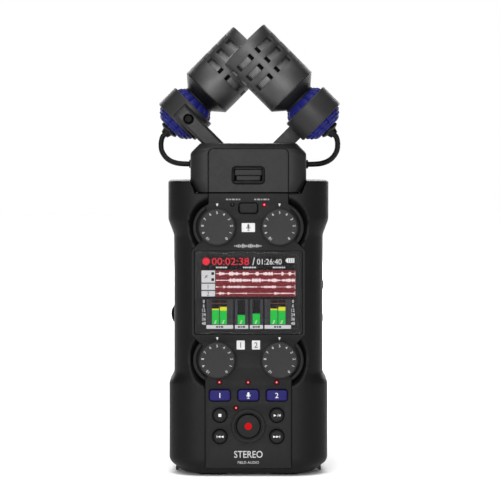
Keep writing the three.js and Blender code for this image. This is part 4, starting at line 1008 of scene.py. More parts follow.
def make_lamp(name, x, z, radius, look):
    """Small lens set in the panel, ringed by a near-black rim of painted shade; a lit one has a
    brighter spot over its light.
    """
    lens = [(0, 0.3), (radius * 0.45, 0.27), (radius * 0.8, 0.16), (radius, 0), (radius, -0.6),
            (0, -0.6)]
    rim = [(radius + out, up) for out, up in
           ((0.02, 0.06), (0.22, 0.06), (0.3, 0), (0.3, -0.2), (0.02, -0.2))]
    spot = [(0, 0.34), (radius * 0.34, 0.31), (radius * 0.34, 0.2), (0, 0.2)]
    # The rim is painted shade: a near-black ring where the gap round the lens lies in shade.
    rows = [("", lens, 40, look, "screen_module"), ("_rim", rim, 40, GAP_SHADE_LOOK, "black_plastic"),
            ("_spot", spot, 24, LAMP_CORE, "screen_module")]
    for ending, profile, sides, material, slot in rows if look is not LAMP_OFF else rows[:2]:
        mesh = facing(turned(profile, sides), x, PANEL_Y, z)
        piece(name + ending, mesh, material, ROOT, ())


def make_lamps():
    for name, x in (("track_lamp_1", -12.4), ("track_lamp_mic", -0.1), ("track_lamp_2", 12.1)):
        make_lamp(name, x, 40.65, 0.95, LAMP_RED)
    make_lamp("record_lamp", -5.28, 29.65, 0.9, LAMP_RED)
    make_lamp("format_lamp_left", -6.8, 116.75, 0.62, LAMP_OFF)
    make_lamp("format_lamp_right", 6.8, 116.75, 0.68, LAMP_ON)


def make_panel_marks():
    """Pointers over the knobs, labels and their signs, and the printed rows."""
    pointers = [flat([(x - 0.5, z + 0.65), (x, z - 0.65), (x + 0.5, z + 0.65)])
                for z in (116.55, 59.35) for x in (-13.3, 13.3)]
    source_z, input_x, input_z = 107, 3.27, 56.68
    source = [flat(rounded_box(0, source_z, 2.82, 1.9, 0.2, 3))]
    inputs = [flat(rounded_box(x, input_z, 1.73, 1.92, 0.2, 3)) for x in (-input_x, input_x)]
    numbers = [lettering(number, 2.4, x, input_z, weight=0.02)
               for number, x in (("1", -input_x), ("2", input_x))]
    wave = [0.5, 0.9, 1.5, 1.0, 1.85, 1.2, 0.7, 1.4, 1.85, 1.1, 0.8, 1.5, 0.9, 0.5]
    words = [lettering("STEREO", 3.0, 0, 9.6, stretch=0.86, weight=0.03),
             lettering("FIELD AUDIO", 1.15, 0, 6.1, stretch=0.98)]
    dashes = []
    for x, widths in ((-9.6, (1.1, 0.7, 1.4, 0.9, 0.8)), (2.5, (0.9, 1.3, 0.7, 1.5, 0.7))):
        for width in widths:
            dashes.append(flat(rounded_box(x + width / 2, 119.0, width / 2, 0.32, 0.2, 3)))
            x += width + 0.32
    over_label = PANEL_Y - PRINT_THICK
    for name, marks, face_y, look in (
        ("pointer_marks", pointers, PANEL_Y, PRINT_BRIGHT),
        ("source_label", source, PANEL_Y, LABEL_LOOK),
        ("source_sign", mic_symbol(0, source_z, 3.0, 1.0), over_label, MARK_LOOK),
        ("input_labels", inputs, PANEL_Y, LABEL_LOOK),
        ("input_numbers", numbers, over_label, MARK_LOOK),
        ("maker_sign", sound_bars(-6.2, 5.8, 99.1, wave), PANEL_Y, PRINT_LOOK),
        ("model_words", words, PANEL_Y, PRINT_LOOK),
        ("format_marks", dashes, PANEL_Y, PRINT_SOFT),
    ):
        printed(name, marks, face_y, look, ROOT)


make_knobs()
make_buttons()
make_record_ring()
make_lamps()
make_panel_marks()


# ---------------------------------------------------------------- screen
PICTURE_Y = Span("lcd_module").low.y - 0.1
LAYER = 0.012
ACTIVE = (-20.15, 20.15, 63.4, 94.4)
SCREEN_COLOURS = {
    "night": tone(26, 24, 26),
    "slate": tone(58, 58, 62),
    "ash": tone(88, 88, 94),
    "white": tone(236, 236, 236),
    "silver": tone(216, 216, 219),
    "ink": tone(40, 40, 46),
    "red": tone(240, 44, 60),
    "wine": tone(122, 38, 46),
    "pink": tone(250, 226, 226),
    "green": tone(40, 196, 72),
    "yellow": tone(232, 226, 50),
    "rust": tone(120, 62, 44),
}
RULER = [(6.3, (0.8, 0.5, 0.9, 0.6, 1.1)), (17.9, (0.5, 0.8, 0.6, 1.0, 0.7, 0.9)),
         (30.6, (0.9, 0.6, 0.5, 1.0, 0.8, 0.5))]
TRACK_LABELS = [(0.0, 5.2), (5.65, 8.3), (8.75, 11.1)]
TRACKS = [(1.38, True), (4.2, True), (7.05, False), (9.8, False)]
METERS = [  # both ends, then each bar's ends, level and peak
    (2.2, 13.6, [(4.6, 7.6, 6.2, 0.55), (8.0, 10.9, 5.9, 1.6)]),
    (14.4, 20.1, [(15.6, 18.7, 4.0, 0)]),
    (20.8, 26.4, [(22.0, 25.1, 4.6, 0)]),
    (27.1, 38.4, [(29.6, 32.6, 6.2, 0.55), (33.0, 36.0, 5.9, 1.6)]),
]
SCALE = ["0", "6", "12", "24", "36", "48"]
METER_STEP = 0.75
SWINGS = 120


class Picture:
    """Flat lit shapes on the display, in layers, gathered by colour.

    Places are measured from the lower left corner of the lit area.
    """

    def __init__(self):
        self.shapes = {}

    def add(self, colour, layer, mesh):
        mesh = moved(mesh, shift(0, -layer * LAYER, 0))
        self.shapes.setdefault(colour, []).append(mesh)

    def shape(self, colour, layer, outline):
        verts = [(ACTIVE[0] + x, 0, ACTIVE[2] + z) for x, z in outline]
        self.add(colour, layer, mesh_of(verts, [tuple(range(len(verts)))]))

    def rect(self, colour, layer, x0, x1, z0, z1):
        self.shape(colour, layer, bar(x0, x1, z0, z1))

    def row(self, colour, layer, x, widths, gap, z0, z1):
        for width in widths:
            self.rect(colour, layer, x, x + width, z0, z1)
            x += width + gap

    def text(self, colour, layer, text, height, x, z, stretch=1.0, weight=0.0):
        place = ACTIVE[0] + x, ACTIVE[2] + z
        self.add(colour, layer, lettering(text, height, *place, stretch=stretch, weight=weight))


def waveform(rng, x0, x1, middle, loud):
    """Outline of a recorded sound: bursts of swing about a middle line."""
    bursts, gain = ((0.25, 0.6, 0.9, 1.0), 1.0) if loud else ((0.14, 0.2, 0.45, 0.9), 0.75)
    level = 0.3
    upper = []
    for i in range(SWINGS):
        if rng.random() < 0.16:
            level = rng.choice(bursts)
        swing = max(0.07, level * rng.uniform(0.3, 1.0)) * gain
        upper.append((x0 + (x1 - x0) * i / (SWINGS - 1), middle + swing))
    return [(x, 2 * middle - z) for x, z in reversed(upper)] + upper


def draw_head(picture, width, z):
    """Recording dot, elapsed and remaining time, battery sign."""
    picture.shape("red", 2, circle(2.1, z, 1.6, steps=40))
    picture.text("red", 2, "00:02:38", 3.15, 12.5, z, 1.08)
    picture.text("white", 2, "/", 3.3, 22.4, z, 0.8, 0.03)
    picture.text("white", 2, "01:26:40", 2.5, 29.1, z - 0.15, 0.9)
    cap, end = width - 4.2, width - 0.45
    picture.rect("white", 2, cap + 0.5, end, z - 0.6, z + 1.35)
    picture.rect("white", 2, cap, cap + 0.5, z - 0.1, z + 0.85)
    picture.row("slate", 3, cap + 1.15, [0.22] * 3, 0.68, z - 0.35, z + 1.1)


def draw_tracks(picture, width, top):
    """Track labels at the left and the recorded sounds beside them."""
    for label_top, label_bottom in TRACK_LABELS:
        picture.rect("silver", 2, 0.1, 5.9, top - label_bottom, top - label_top)
    x, z = 2.1, top - 2.6
    for way in (-1, 1):
        rise = 0.6 * way
        picture.shape("ink", 3, [(x - 0.75, z - rise), (x - 0.4, z - rise - 0.1),
                                 (x + 0.75, z + rise), (x + 0.4, z + rise + 0.1)])
        picture.rect("ink", 3, 4.3, 5.5, z + way * 1.3 - 0.6, z + way * 1.3 + 0.6)
    picture.text("ink", 3, "1", 1.8, 2.9, top - 6.95)
    picture.text("ink", 3, "2", 1.8, 2.9, top - 9.9)
    picture.rect("wine", 1, 6.1, width, top - 11.2, top + 0.1)
    rng = random.Random(7)
    for down, loud in TRACKS:
        middle = top - down
        picture.rect("red", 2, 6.1, width, middle - 0.07, middle + 0.07)
        picture.shape("pink", 3, waveform(rng, 6.2, width - 0.15, middle, loud))
        picture.rect("pink", 3, width - 0.3, width - 0.12, middle - 0.9, middle + 0.9)


def draw_meter(picture, x0, x1, bars, low, high):
    """Level meters: a dark field with ticks, green bars topped with yellow, and a label below."""
    picture.rect("slate", 1, x0, x1, low, high)
    for tick in levels_between(low + 0.5, high - 0.3, METER_STEP):
        for side in (x0 + 0.35, x1 - 0.85):
            picture.rect("ash", 2, side, side + 0.5, tick, tick + 0.14)
    for left, right, level, peak in bars:
        picture.rect("night", 2, left, right, low, high - 0.25)
        picture.rect("green", 3, left, right, low, low + level)
        if peak:
            picture.rect("yellow", 3, left, right, low + level, low + level + peak)
            picture.rect("rust", 3, left, right, high - 1.9, high - 1.6)
        for k in range(3):
            x, z = left + 0.9 + 0.22 * k, low + 0.35 + 0.5 * k
            picture.rect("white", 4, x, x + 0.6, z, z + 0.25)
    picture.rect("silver", 2, x0, x1, 0.15, 1.75)
    picture.row("ink", 3, (x0 + x1) / 2 - 1.6, (0.9, 0.6, 1.1), 0.25, 0.6, 1.3)


def make_screen():
    picture = Picture()
    width, height = ACTIVE[1] - ACTIVE[0], ACTIVE[3] - ACTIVE[2]
    picture.rect("night", 0, 0, width, 0, height)
    draw_head(picture, width, height - 1.95)
    for x, widths in RULER:
        picture.row("silver", 2, x, widths, 0.2, height - 4.85, height - 4.25)
    draw_tracks(picture, width, height - 5.85)
    low, high = 2.05, height - 18.2
    for x0, x1, bars in METERS:
        draw_meter(picture, x0, x1, bars, low, high)
    for i, number in enumerate(SCALE):
        z = high - 0.9 - i * (high - low - 1.3) / (len(SCALE) - 1)
        for x in (1.05, width - 1.05):
            picture.text("silver", 2, number, 1.4, x, z, 0.9, 0.02)
    for colour, meshes in picture.shapes.items():
        look = glowing("screen_" + colour, SCREEN_COLOURS[colour])
        sheet = moved(merged(meshes), shift(0, PICTURE_Y, 0))
        piece("screen_" + colour, sheet, look, ROOT, ())


def make_glass():
    x, z, half_x, half_z = GLASS.middle.x, GLASS.middle.z, GLASS.half.x, GLASS.half.z
    glass = plate([rounded_box(x, z, half_x, half_z, 0.8)], GLASS.low.y, GLASS.high.y, 0.12, 3)
    piece("screen_window", glass, GLASS_LOOK, ROOT, ["screen_glass"])
    edges = [rounded_box(x, z, half_x - 0.1, half_z - 0.1, 0.7), bar(*ACTIVE)]
    mask = plate(edges, GLASS.high.y + 0.02, GLASS.high.y + 0.12, 0)
    piece("screen_mask", mask, MASK_LOOK, ROOT, ())


make_screen()
make_glass()


# ---------------------------------------------------------------- capsule housing
STRIP_Y = HOUSING.low.y + 0.9
STRIP_TOP = HOUSING.high.z - 2.2
STRIP_ARC = 2.2
GROOVE = 0.3
LATCH_Z = HOUSING.low.z + 7.25
LATCH_HALF = (7.1, 3.95)
LATCH_WALL = 0.75
HOUSING_REACH = (7.0, 4.5)
HOUSING_ROUND = 0.35


def housing_solid():
    half, front, back = HOUSING.half.x, HOUSING.low.y, HOUSING.high.y
    bottom, top = HOUSING.low.z, HOUSING.high.z
    sides = [(bottom, half - 2.5), (bottom + NOTCH_SLOPE, half), (top - 4.1, half),
             (top, half - 4.1)]
    faces = [(bottom, front, back), (top - 2.4, front, back), (top, front + 3.1, back - 3.1)]
    levels = [bottom + 0.02, bottom + 0.15]
    levels += levels_between(bottom + 0.5, top - HOUSING_ROUND, 0.45)
    levels += [top - 0.3, top - 0.16, top - 0.06, top]
    rings = []
    for z in levels:
        (half_x,) = stepped(sides, z, 0.6)
        y0, y1 = stepped(faces, z, 0.5)
        climb = max(0.0, z - (top - HOUSING_ROUND)) / HOUSING_ROUND
        inset = HOUSING_ROUND * (1 - math.sqrt(max(0.0, 1 - climb**2)))
        outline = rounded_plan(half_x - inset, y0 + inset, y1 - inset, *HOUSING_REACH, 12)
        rings.append([(x, y, z) for x, y in outline])
    return loft(rings)


def strip_outline(grow):
    """The front strip, which the body's panel carries on below: round at its upper corners."""
    middle, foot = CHANNEL - STRIP_ARC, HOUSING.low.z - 3
    outline = [(-CHANNEL - grow, foot), (CHANNEL + grow, foot)]
    for x, start in ((middle, 0), (-middle, QUARTER)):
        outline += circle(x, STRIP_TOP - STRIP_ARC, STRIP_ARC + grow, start, start + QUARTER, 10)
    return outline


def make_housing():
    reach = HOUSING.half.x - 6.5
    strip = strip_outline(0)
    opening = rounded_box(0, LATCH_Z, *LATCH_HALF, 1.9, 8)
    cutters = [
        plate([strip], -FAR, STRIP_Y, 0),
        plate([strip_outline(GROOVE), strip], -FAR, STRIP_Y + 0.45, 0),
        plate([opening], -FAR, STRIP_Y + 2.2, 0),
        box(-reach, reach, -14, HOUSING.high.y - 2.4, HOUSING.low.z - 3, HOUSING.high.z - 3),
        box(-6.0, 6.0, STRIP_Y, -13, LATCH_Z - 2.6, LATCH_Z + 2.6),
    ]
    shell = carved(housing_solid(), cutters)
    piece("capsule_shell", shell, HOUSING_LOOK, CAPSULE, ["capsule_housing"])
    inner = rounded_box(0, LATCH_Z, *(half - LATCH_WALL for half in LATCH_HALF), 1.3, 8)
    frame_plate = plate([opening, inner], STRIP_Y + 0.9, STRIP_Y + 2.1, 0.2)
    piece("latch_frame", frame_plate, BLACK_LOOK, CAPSULE)
    latch = Span("capsule_latch")
    front, back = STRIP_Y + 2.0, latch.high.y
    upper = rounded_box(0, LATCH_Z + 1.1, 5.75, 1.25, 0.5)
    lower = rounded_box(0, LATCH_Z - 1.25, 5.1, 0.95, 0.35)
    body = merged([
        plate([upper], STRIP_Y + 0.15, front, 0.25, 4),
        plate([lower], latch.low.y, front, 0.3, 4),
        box(-5.2, 5.2, STRIP_Y + 0.8, STRIP_Y + 2.3, LATCH_Z - 2.3, LATCH_Z + 2.3),
        bevelled(box(-2.5, 2.5, back - 1.0, back, latch.low.z, LATCH_Z), 0.2),
        bevelled(box(-2.5, 2.5, front, back, LATCH_Z - 1.5, LATCH_Z + 1.5), 0.2),
    ])
    piece("latch_button", body, HOUSING_LOOK, "capsule_latch", ["capsule_latch"])


# ---------------------------------------------------------------- microphones
# The left microphone's own frame: origin in the middle of its mount ring, +Z along its axis to
# the front, +X down along its arm. The right one is the left one turned half round the recorder.
HEAD_RADIUS = HEAD.half.y
HEAD_BACK = 13.25
HEAD_FRONT = 42.05
HEAD_WALL = 1.3
RING_RADIUS = RING.high.y - HEAD.middle.y
RING_LENGTH = 5.05
RING_REACH = (HEAD_BACK + HEAD_RADIUS) / math.sqrt(2)
RING_CENTRE = Vector((STEM.high.x - RING_REACH, HEAD.middle.y, STEM.high.z - RING_REACH))
LEFT_MIC = Matrix.Translation(RING_CENTRE) @ Matrix.Rotation(math.pi / 4, 4, "Y")
TURNS = {"left": Matrix.Identity(4), "right": Matrix.Rotation(math.pi, 4, "Z")}
LEAD_RADIUS = 1.15
LEAD_ROUTE = [
    (-8.9, 0, -8.9), (-9.45, 0, -9.45), (-9.85, -0.05, -9.95), (-10.3, -0.5, -11.2),
    (-10.55, -1.2, -13.2), (-10.2, -2.4, -16), (-8.6, -3.6, -18.7), (-6.3, -4.7, -20.5),
    (-3.3, -5.9, -21.5), (0.2, -6.8, -21.8), (3.4, -7.2, -21.8), (6, -7.2, -21.8),
]
GLAND = [(1.1, -0.3), (1.9, -0.3), (1.9, 0.75), (1.65, 1.0), (1.3, 1.1), (1.1, 1.1)]
SLOT_ROWS = [(22.95, 25.6), (28.6, 31.4), (34.4, 37.1)]
RIB_ANGLE = math.radians(13)
SLOT_ANGLE = math.radians(47)
SIDE_RIB_ANGLE = math.radians(14)
CELL_ANGLE = math.radians(3.4)
LOBES = 6
ARM_HALF = 3.45
ARM_BACK = -RING_RADIUS - 0.6
ARM_FRONT = ARM_BACK - 4.7
SCREW_X, SCREW_Z = 3, -0.3


def head_angles():
    """Angles round the head from cell to cell, and which of the cells are slots.

    Ribs face fore and aft, and the slots at either side are halved by a rib.
    """
    halved = (SLOT_ANGLE - SIDE_RIB_ANGLE) / 2
    whole, split = [(SLOT_ANGLE, True)], [(halved, True), (SIDE_RIB_ANGLE, False), (halved, True)]
    angles, slotted = [], []
    at = -QUARTER - RIB_ANGLE / 2
    for slots in (whole, split, whole, whole, split, whole):
        for span, is_slot in [(RIB_ANGLE, False), *slots]:
            cells = round(span / CELL_ANGLE)
            angles += [at + span * i / cells for i in range(cells)]
            slotted += [is_slot] * cells
            at += span
    return angles, slotted


def head_mesh():
    """Tube with three rows of long slots and a lip round its mouth."""
    angles, slotted = head_angles()
    count = len(angles)
    outer, mouth = HEAD_RADIUS, HEAD_RADIUS - 2.8
    levels = [HEAD_BACK + 0.3, 18.0, *[z for row in SLOT_ROWS for z in row], 39.5, HEAD_FRONT - 0.6]
    open_rows = {levels.index(row[0]) for row in SLOT_ROWS}
    verts, faces = [], []

    def ring(radius, z):
        verts.extend((radius * math.cos(a), radius * math.sin(a), z) for a in angles)
        return len(verts) - count

    outside = [ring(outer, z) for z in levels]
    inside = [ring(outer - HEAD_WALL, min(z, HEAD_FRONT - HEAD_WALL)) for z in levels]
    for row, (a, b, c, d) in enumerate(zip(outside, outside[1:], inside, inside[1:])):
        for j in range(count):
            k = (j + 1) % count
            if row in open_rows and slotted[j]:
                if not slotted[j - 1]:
                    faces.append((a + j, b + j, d + j, c + j))
                if not slotted[k]:
                    faces.append((a + k, c + k, d + k, b + k))
                faces += [(a + j, c + j, c + k, a + k), (b + j, b + k, d + k, d + j)]
            else:
                faces += [(a + j, a + k, b + k, b + j), (c + j, d + j, d + k, c + k)]
    lip = [(outer - 0.18, 0.18), (outer - 0.6, 0), (mouth + 0.25, 0), (mouth, 0.25),
           (mouth, HEAD_WALL)]
    chain = [outside[-1], *(ring(radius, HEAD_FRONT - down) for radius, down in lip), inside[-1]]
    for start, end in [*zip(chain, chain[1:]), (inside[0], outside[0])]:
        for j in range(count):
            k = (j + 1) % count
            faces.append((start + j, start + k, end + k, end + j))
    return bevelled(mesh_of(verts, faces), 0.14, 2, 50)


def sleeve_meshes():
    """The tube of woven wire inside the head, and dark strips of painted shade behind its ribs."""
    out = HEAD_RADIUS - HEAD_WALL - 0.25
    top = HEAD_FRONT - HEAD_WALL - 0.3
    sleeve = turned([(out - 0.5, 14.2), (out, 14.2), (out, top - 0.8), (out - 0.8, top),
                     (0.01, top), (0.01, top - 0.5), (out - 1.0, top - 0.5), (out - 0.5, top - 1.0)])
    strips = []
    # Painted shade: near-black strips just outside the wire under the ribs darken the slot ends
    # beside them.
    for middle, half in ((-QUARTER, 0.27), (QUARTER, 0.27), (0, 0.32), (math.pi, 0.32)):
        steps = [middle + half * k / 6 for k in range(-6, 7)]
        section = [(out + 0.2, a) for a in steps] + [(out + 0.03, a) for a in reversed(steps)]
        strips.append(loft([[(r * math.cos(a), r * math.sin(a), z) for r, a in section]
                            for z in (SLOT_ROWS[0][0] - 1, SLOT_ROWS[-1][1] + 1)]))
    return sleeve, merged(strips)


def cone_mesh():
    """Back of the head: a wide cone on the stem that goes through the shock mount."""
    neck, edge = 8.55, HEAD_BACK + 0.28
    return turned([
        (0, -9.2), (3.9, -9.2), (3.9, neck - 0.4), (7.4, neck - 0.4), (7.55, neck - 0.2),
        (7.5, neck + 0.1), (7.2, neck + 0.3), (HEAD_RADIUS - 0.25, HEAD_BACK - 0.35),
        (HEAD_RADIUS, HEAD_BACK - 0.15), (HEAD_RADIUS, edge), (0, edge),
    ])


def boot_mesh():
    return turned([
        (0, -9.2), (4.0, -9.2), (4.2, -9.6), (4.2, -10.2), (3.9, -10.45), (2.9, -10.9), (2.4, -11),
        (2.15, -11.9), (1.8, -12.9), (1.2, -12.95), (0, -12.95),
    ], 48)


def rubber_lobes(radius, place, angle):
    """The shock mount's rubber swells and dips round its rim outside the ring."""
    if abs(place) < RING_LENGTH + 0.2 or radius < 5.0:
        return radius
    return radius * (0.9 + 0.1 * abs(math.cos(LOBES * angle)) ** 0.6)


def shock_mesh():
    inner, bore = RING_RADIUS - 1.8, 4.25
    return turned([
        (bore, 8.2), (7.0, 8.2), (7.9, 7.9), (8.3, 7.2), (9.1, 6.6), (9.55, 5.7), (9.7, 5.3),
        (inner, RING_LENGTH - 0.1), (inner, -RING_LENGTH + 0.1), (9.7, -5.3), (9.6, -5.9),
        (9.15, -6.4), (8.6, -6.7), (8.4, -7.5), (7.4, -7.9), (6.9, -8.6), (6.0, -9.15),
        (bore, -9.15),
    ], 144, rubber_lobes)


def arm_mesh():
    """Chamfered bar from beside the ring down into the housing, with the screw's seat sunk in."""
    half, back, front = ARM_HALF, ARM_BACK, ARM_FRONT
    section = softened([(-half, back), (half, back), (half, front + 0.9), (half - 0.9, front),
                        (-half + 0.9, front), (-half, front + 0.9)], 0.3, 3)
    rings = []
    for x, inset in ((-2.5, 0.5), (-2.35, 0.2), (-2.0, 0.0), (24.5, 0.0)):
        rings.append([(x, y + (inset if y < back - 2 else 0), z * (1 - inset / half) + SCREW_Z)
                      for z, y in section])
    seat = rod(2.35, (SCREW_X, -FAR, SCREW_Z), (SCREW_X, front + 2.2, SCREW_Z))
    return carved(loft(rings), [seat])


def screw_mesh():
    """Screw with a hexagonal socket."""
    head = turned([(0, 0.35), (1.5, 0.35), (2.0, 0.15), (2.1, -0.1), (2.1, -1.6), (0, -1.6)], 48)
    socket = turned([(0, 1), (1.15, 1), (1.15, -0.8), (0, -0.8)], 6)
    return facing(carved(head, [socket]), SCREW_X, ARM_FRONT + 0.4, SCREW_Z)


def mic_pieces():
    """Each part of a microphone: its name, mesh, material, CAD node and slot."""
    outer, length = RING_RADIUS, RING_LENGTH
    band = turned(softened([(outer - 1.5, -length), (outer, -length), (outer, length),
                            (outer - 1.5, length)], 0.4, 4), 128)
    # Painted shade: a black pad a little wider than the arm, whose edge shows as a dark outline
    # round the arm's upper end.
    pad = bevelled(box(-2.9, 7.2, -outer - 0.5, -outer + 2.2, -4.05, ARM_HALF), 0.3)
    # Painted highlight: thin lighter rings on the band's ends, standing in for light caught on its
    # edges.
    rim_highlights = [turned([(outer - 1.6, end * length), (outer - 0.35, end * length),
                    (outer - 0.35, end * (length + 0.12)), (outer - 1.6, end * (length + 0.12))])
            for end in (-1, 1)]
    sleeve, rib_shade = sleeve_meshes()
    return [
        ("head_band", head_mesh(), HEAD_LOOK, "mic_head", "mic_metal"),
        ("head_mesh", sleeve, MESH_LOOK, "mic_mesh", "mesh_steel"),
        ("head_backing", rib_shade, GAP_SHADE_LOOK, None, "black_plastic"),
        ("head_cone", cone_mesh(), STEM_LOOK, "mic_stem", "black_plastic"),
        ("shock_rubber", shock_mesh(), RUBBER_LOOK, "shock_mount", "blue_rubber"),
        ("mount_band", band, MOUNT_LOOK, "mount_ring", "mount_plastic"),
        ("arm_seat", pad, BLACK_LOOK, None, "mount_plastic"),
        ("mount_rims", merged(rim_highlights), RIM_HIGHLIGHT_LOOK, None, "mount_plastic"),
        ("mount_arm", arm_mesh(), ARM_LOOK, "mic_arm", "mount_plastic"),
        ("mount_screw", screw_mesh(), SCREW_LOOK, "arm_screw", "screw_steel"),
        ("lead_sleeve", boot_mesh(), LEAD_LOOK, "lead_boot", "lead_rubber"),
    ]


def make_microphones():
    route = [RING_CENTRE + Vector(point) for point in LEAD_ROUTE]
    entry = shift(-HOUSING.half.x, route[-1].y, route[-1].z) @ Matrix.Rotation(-QUARTER, 4, "Y")
    for side, turn in TURNS.items():
        for name, mesh, look, cad, slot in mic_pieces():
            nodes = [f"{cad}_{side}"] if cad else ()
            piece(f"{name}_{side}", moved(mesh, turn @ LEFT_MIC), look, CAPSULE, nodes)
        lead = moved(tube(route, LEAD_RADIUS, 20, 6), turn)
        piece(f"lead_{side}", lead, LEAD_LOOK, CAPSULE, [f"mic_lead_{side}"])
        gland = moved(turned(GLAND, 40), turn @ entry)
        piece(f"lead_gland_{side}", gland, BLACK_LOOK, CAPSULE)


make_housing()
make_microphones()


# ---------------------------------------------------------------- jacks, side controls and rear
SLEEVE = (9.6, 10.8)
SLEEVE_FLOOR = 12.9
SLEEVE_TOP = 14.1
PIN_RADIUS = 0.95
PIN_REACH = 5.4
AXLE = 3.2
THREAD_RADIUS = 3.2
THREAD_TURNS = 9


def jack_mesh(mouth):
    """Socket that faces down: a sleeve, its floor, a core with three pin holes and a key."""
    inner, outer = SLEEVE
    sleeve = turned([(inner, mouth + 0.25), (inner + 0.25, mouth), (outer - 0.25, mouth),
                     (outer, mouth + 0.25), (outer, SLEEVE_TOP), (inner, SLEEVE_TOP)])
    floor = turned([(0, SLEEVE_FLOOR), (9.7, SLEEVE_FLOOR), (9.7, SLEEVE_TOP), (0, SLEEVE_TOP)], 64)
    core = turned([(3.4, mouth + 0.7), (3.8, mouth + 0.4), (7.1, mouth + 0.4), (7.4, mouth + 0.7),
                   (7.4, 13), (3.4, 13)])
    pins = []
    for degrees in (90, 210, 330):
        angle = math.radians(degrees)
        x, y = PIN_REACH * math.cos(angle), PIN_REACH * math.sin(angle)
        pins.append(rod(PIN_RADIUS, (x, y, -1), (x, y, 9), 24))
    key = box(-1.6, 1.6, -8.9, -7.3, mouth + 0.6, 13)
    return merged([sleeve, floor, carved(core, pins), bevelled(key, 0.2)])


def make_jacks():
    mouth = Span("combo_jack_right").low.z
    for name, side in SIDES.items():
        mesh = moved(jack_mesh(mouth), shift(side * JACK_X, 0, 0))
        piece(f"jack_{name}", mesh, BLACK_LOOK, ROOT, [f"combo_jack_{name}"])
        tab = f"jack_release_{name}"
        low, high = Span(tab).low, Span(tab).high
        inner, outer = sorted((abs(low.x), abs(high.x)))
        outline = [(inner, high.z), (inner, high.z - 1.2), (outer - 1.6, high.z - 1.2),
                   (outer - 0.9, low.z + 0.25), (outer - 0.45, low.z), (outer, low.z + 0.35),
                   (outer, high.z)]
        outline = softened([(side * x, z) for x, z in outline], 0.25, 3)
        grip = plate([outline], low.y, high.y, 0.25, 3)
        piece(f"release_tab_{name}", grip, MOUNT_LOOK, tab, [tab])


def grooved_wheel(name, look, teeth):
    span = Span(name)
    radius, half = span.half.x, 2.0

    def rim(out, place, angle):
        return out if out < radius - 0.5 else out - 0.11 * (1 - math.cos(teeth * angle))

    front = [(0, AXLE), (1, AXLE), (1, half), (radius - 1.6, half), (radius - 1.2, half - 0.25),
             (radius - 0.6, half), (radius, half - 0.45)]
    profile = [(out, -place) for out, place in front] + front[::-1]
    mesh = facing(turned(profile, teeth * 6, rim), span.middle.x, 0, span.middle.z)
    piece(name + "_rim", mesh, look, name, [name], angle=40)


def wheel_well(name, side):
    """Blind wall behind a side wheel, near-black with painted shade."""
    span = Span(name)
    inner = min(abs(span.low.x), abs(span.high.x)) - 0.6
    across = sorted((side * inner, side * (inner - 0.6)))
    wall = bevelled(box(*across, -5, 5, span.low.z - 3, span.high.z + 3), 0.2)
    piece(name + "_well", wall, GAP_SHADE_LOOK, ROOT, ())


def side_plate(outline, x0, x1, bevel):
    """Plate drawn in depth and height, from x0 to x1 across."""
    mesh = plate([outline], x0, x1, bevel, 3)
    return moved(mesh, Matrix.Rotation(-QUARTER, 4, "Z") @ Matrix.Scale(-1, 4, (1, 0, 0)))


def make_side_controls():
    for name, look, teeth, side in (("headphone_thumbwheel", BLACK_LOOK, 36, -1),
                                    ("jog_wheel", BLUE_LOOK, 30, 1)):
        grooved_wheel(name, look, teeth)
        wheel_well(name, side)
    slider = Span("power_slider")
    face, back, low, high = slider.low.x, slider.high.x, slider.low.z, slider.high.z
    bodies = [bevelled(box(face + 0.25, back, -1.35, 1.35, low + 0.05, high - 0.05), 0.2),
              bevelled(box(back - 1, back, -2.7, 2.7, low, high), 0.15)]
    for k in (-1.8, -0.9, 0, 0.9, 1.8):
        z = slider.middle.z + 0.9 * k
        bodies.append(bevelled(box(face, face + 0.6, -1.1, 1.1, z - 0.22, z + 0.22), 0.1))
    piece("slider_grip", merged(bodies), BLACK_LOOK, "power_slider", ["power_slider"])
    cover = Span("port_cover")
    low, high = cover.low, cover.high
    half_y, half_z = cover.half.y - 0.02, cover.half.z - 0.02
    outline = rounded_box(cover.middle.y, cover.middle.z, half_y, half_z, 1.0)
    pull = rounded_box(low.y + 1.2, high.z - 3.0, 0.35, 1.6, 0.3)
    lid = merged([side_plate(outline, low.x, high.x, 0.25),
                  side_plate(pull, high.x - 0.2, high.x + 0.25, 0.12)])
    piece("port_lid", lid, BLACK_LOOK, "port_cover", ["port_cover"])


def make_rear():
    lid = Span("battery_cover")
    outline = rounded_box(0, lid.middle.z, lid.half.x - 0.02, lid.half.z - 0.02, 1.6)
    bodies = [plate([outline], lid.low.y, lid.high.y, 0.3, 3)]
    for k in range(6):
        rib = rounded_box(0, lid.high.z - 5.0 - 1.5 * k, 7.0 - 0.9 * k, 0.35, 0.3)
        bodies.append(plate([rib], lid.high.y - 0.3, lid.high.y + 0.28, 0.15))
    piece("battery_lid", merged(bodies), SHELL_LOOK, "battery_cover", ["battery_cover"])
    insert = Span("tripod_insert")
    thread = []
    for k in range(THREAD_TURNS):
        place = 6.8 * (THREAD_TURNS - k) / THREAD_TURNS
        thread += [(THREAD_RADIUS, place), (THREAD_RADIUS - 0.35, place - 0.38)]
    profile = [(5.25, 0), (5.5, 0.25), (5.5, 8), (0.01, 8), (0.01, 7), *thread,
               (THREAD_RADIUS, 0.3), (THREAD_RADIUS + 0.3, 0)]
    mesh = facing(turned(profile, 64), 0, insert.high.y, insert.middle.z)
    piece("tripod_thread", mesh, BRASS_LOOK, ROOT, ["tripod_insert"])


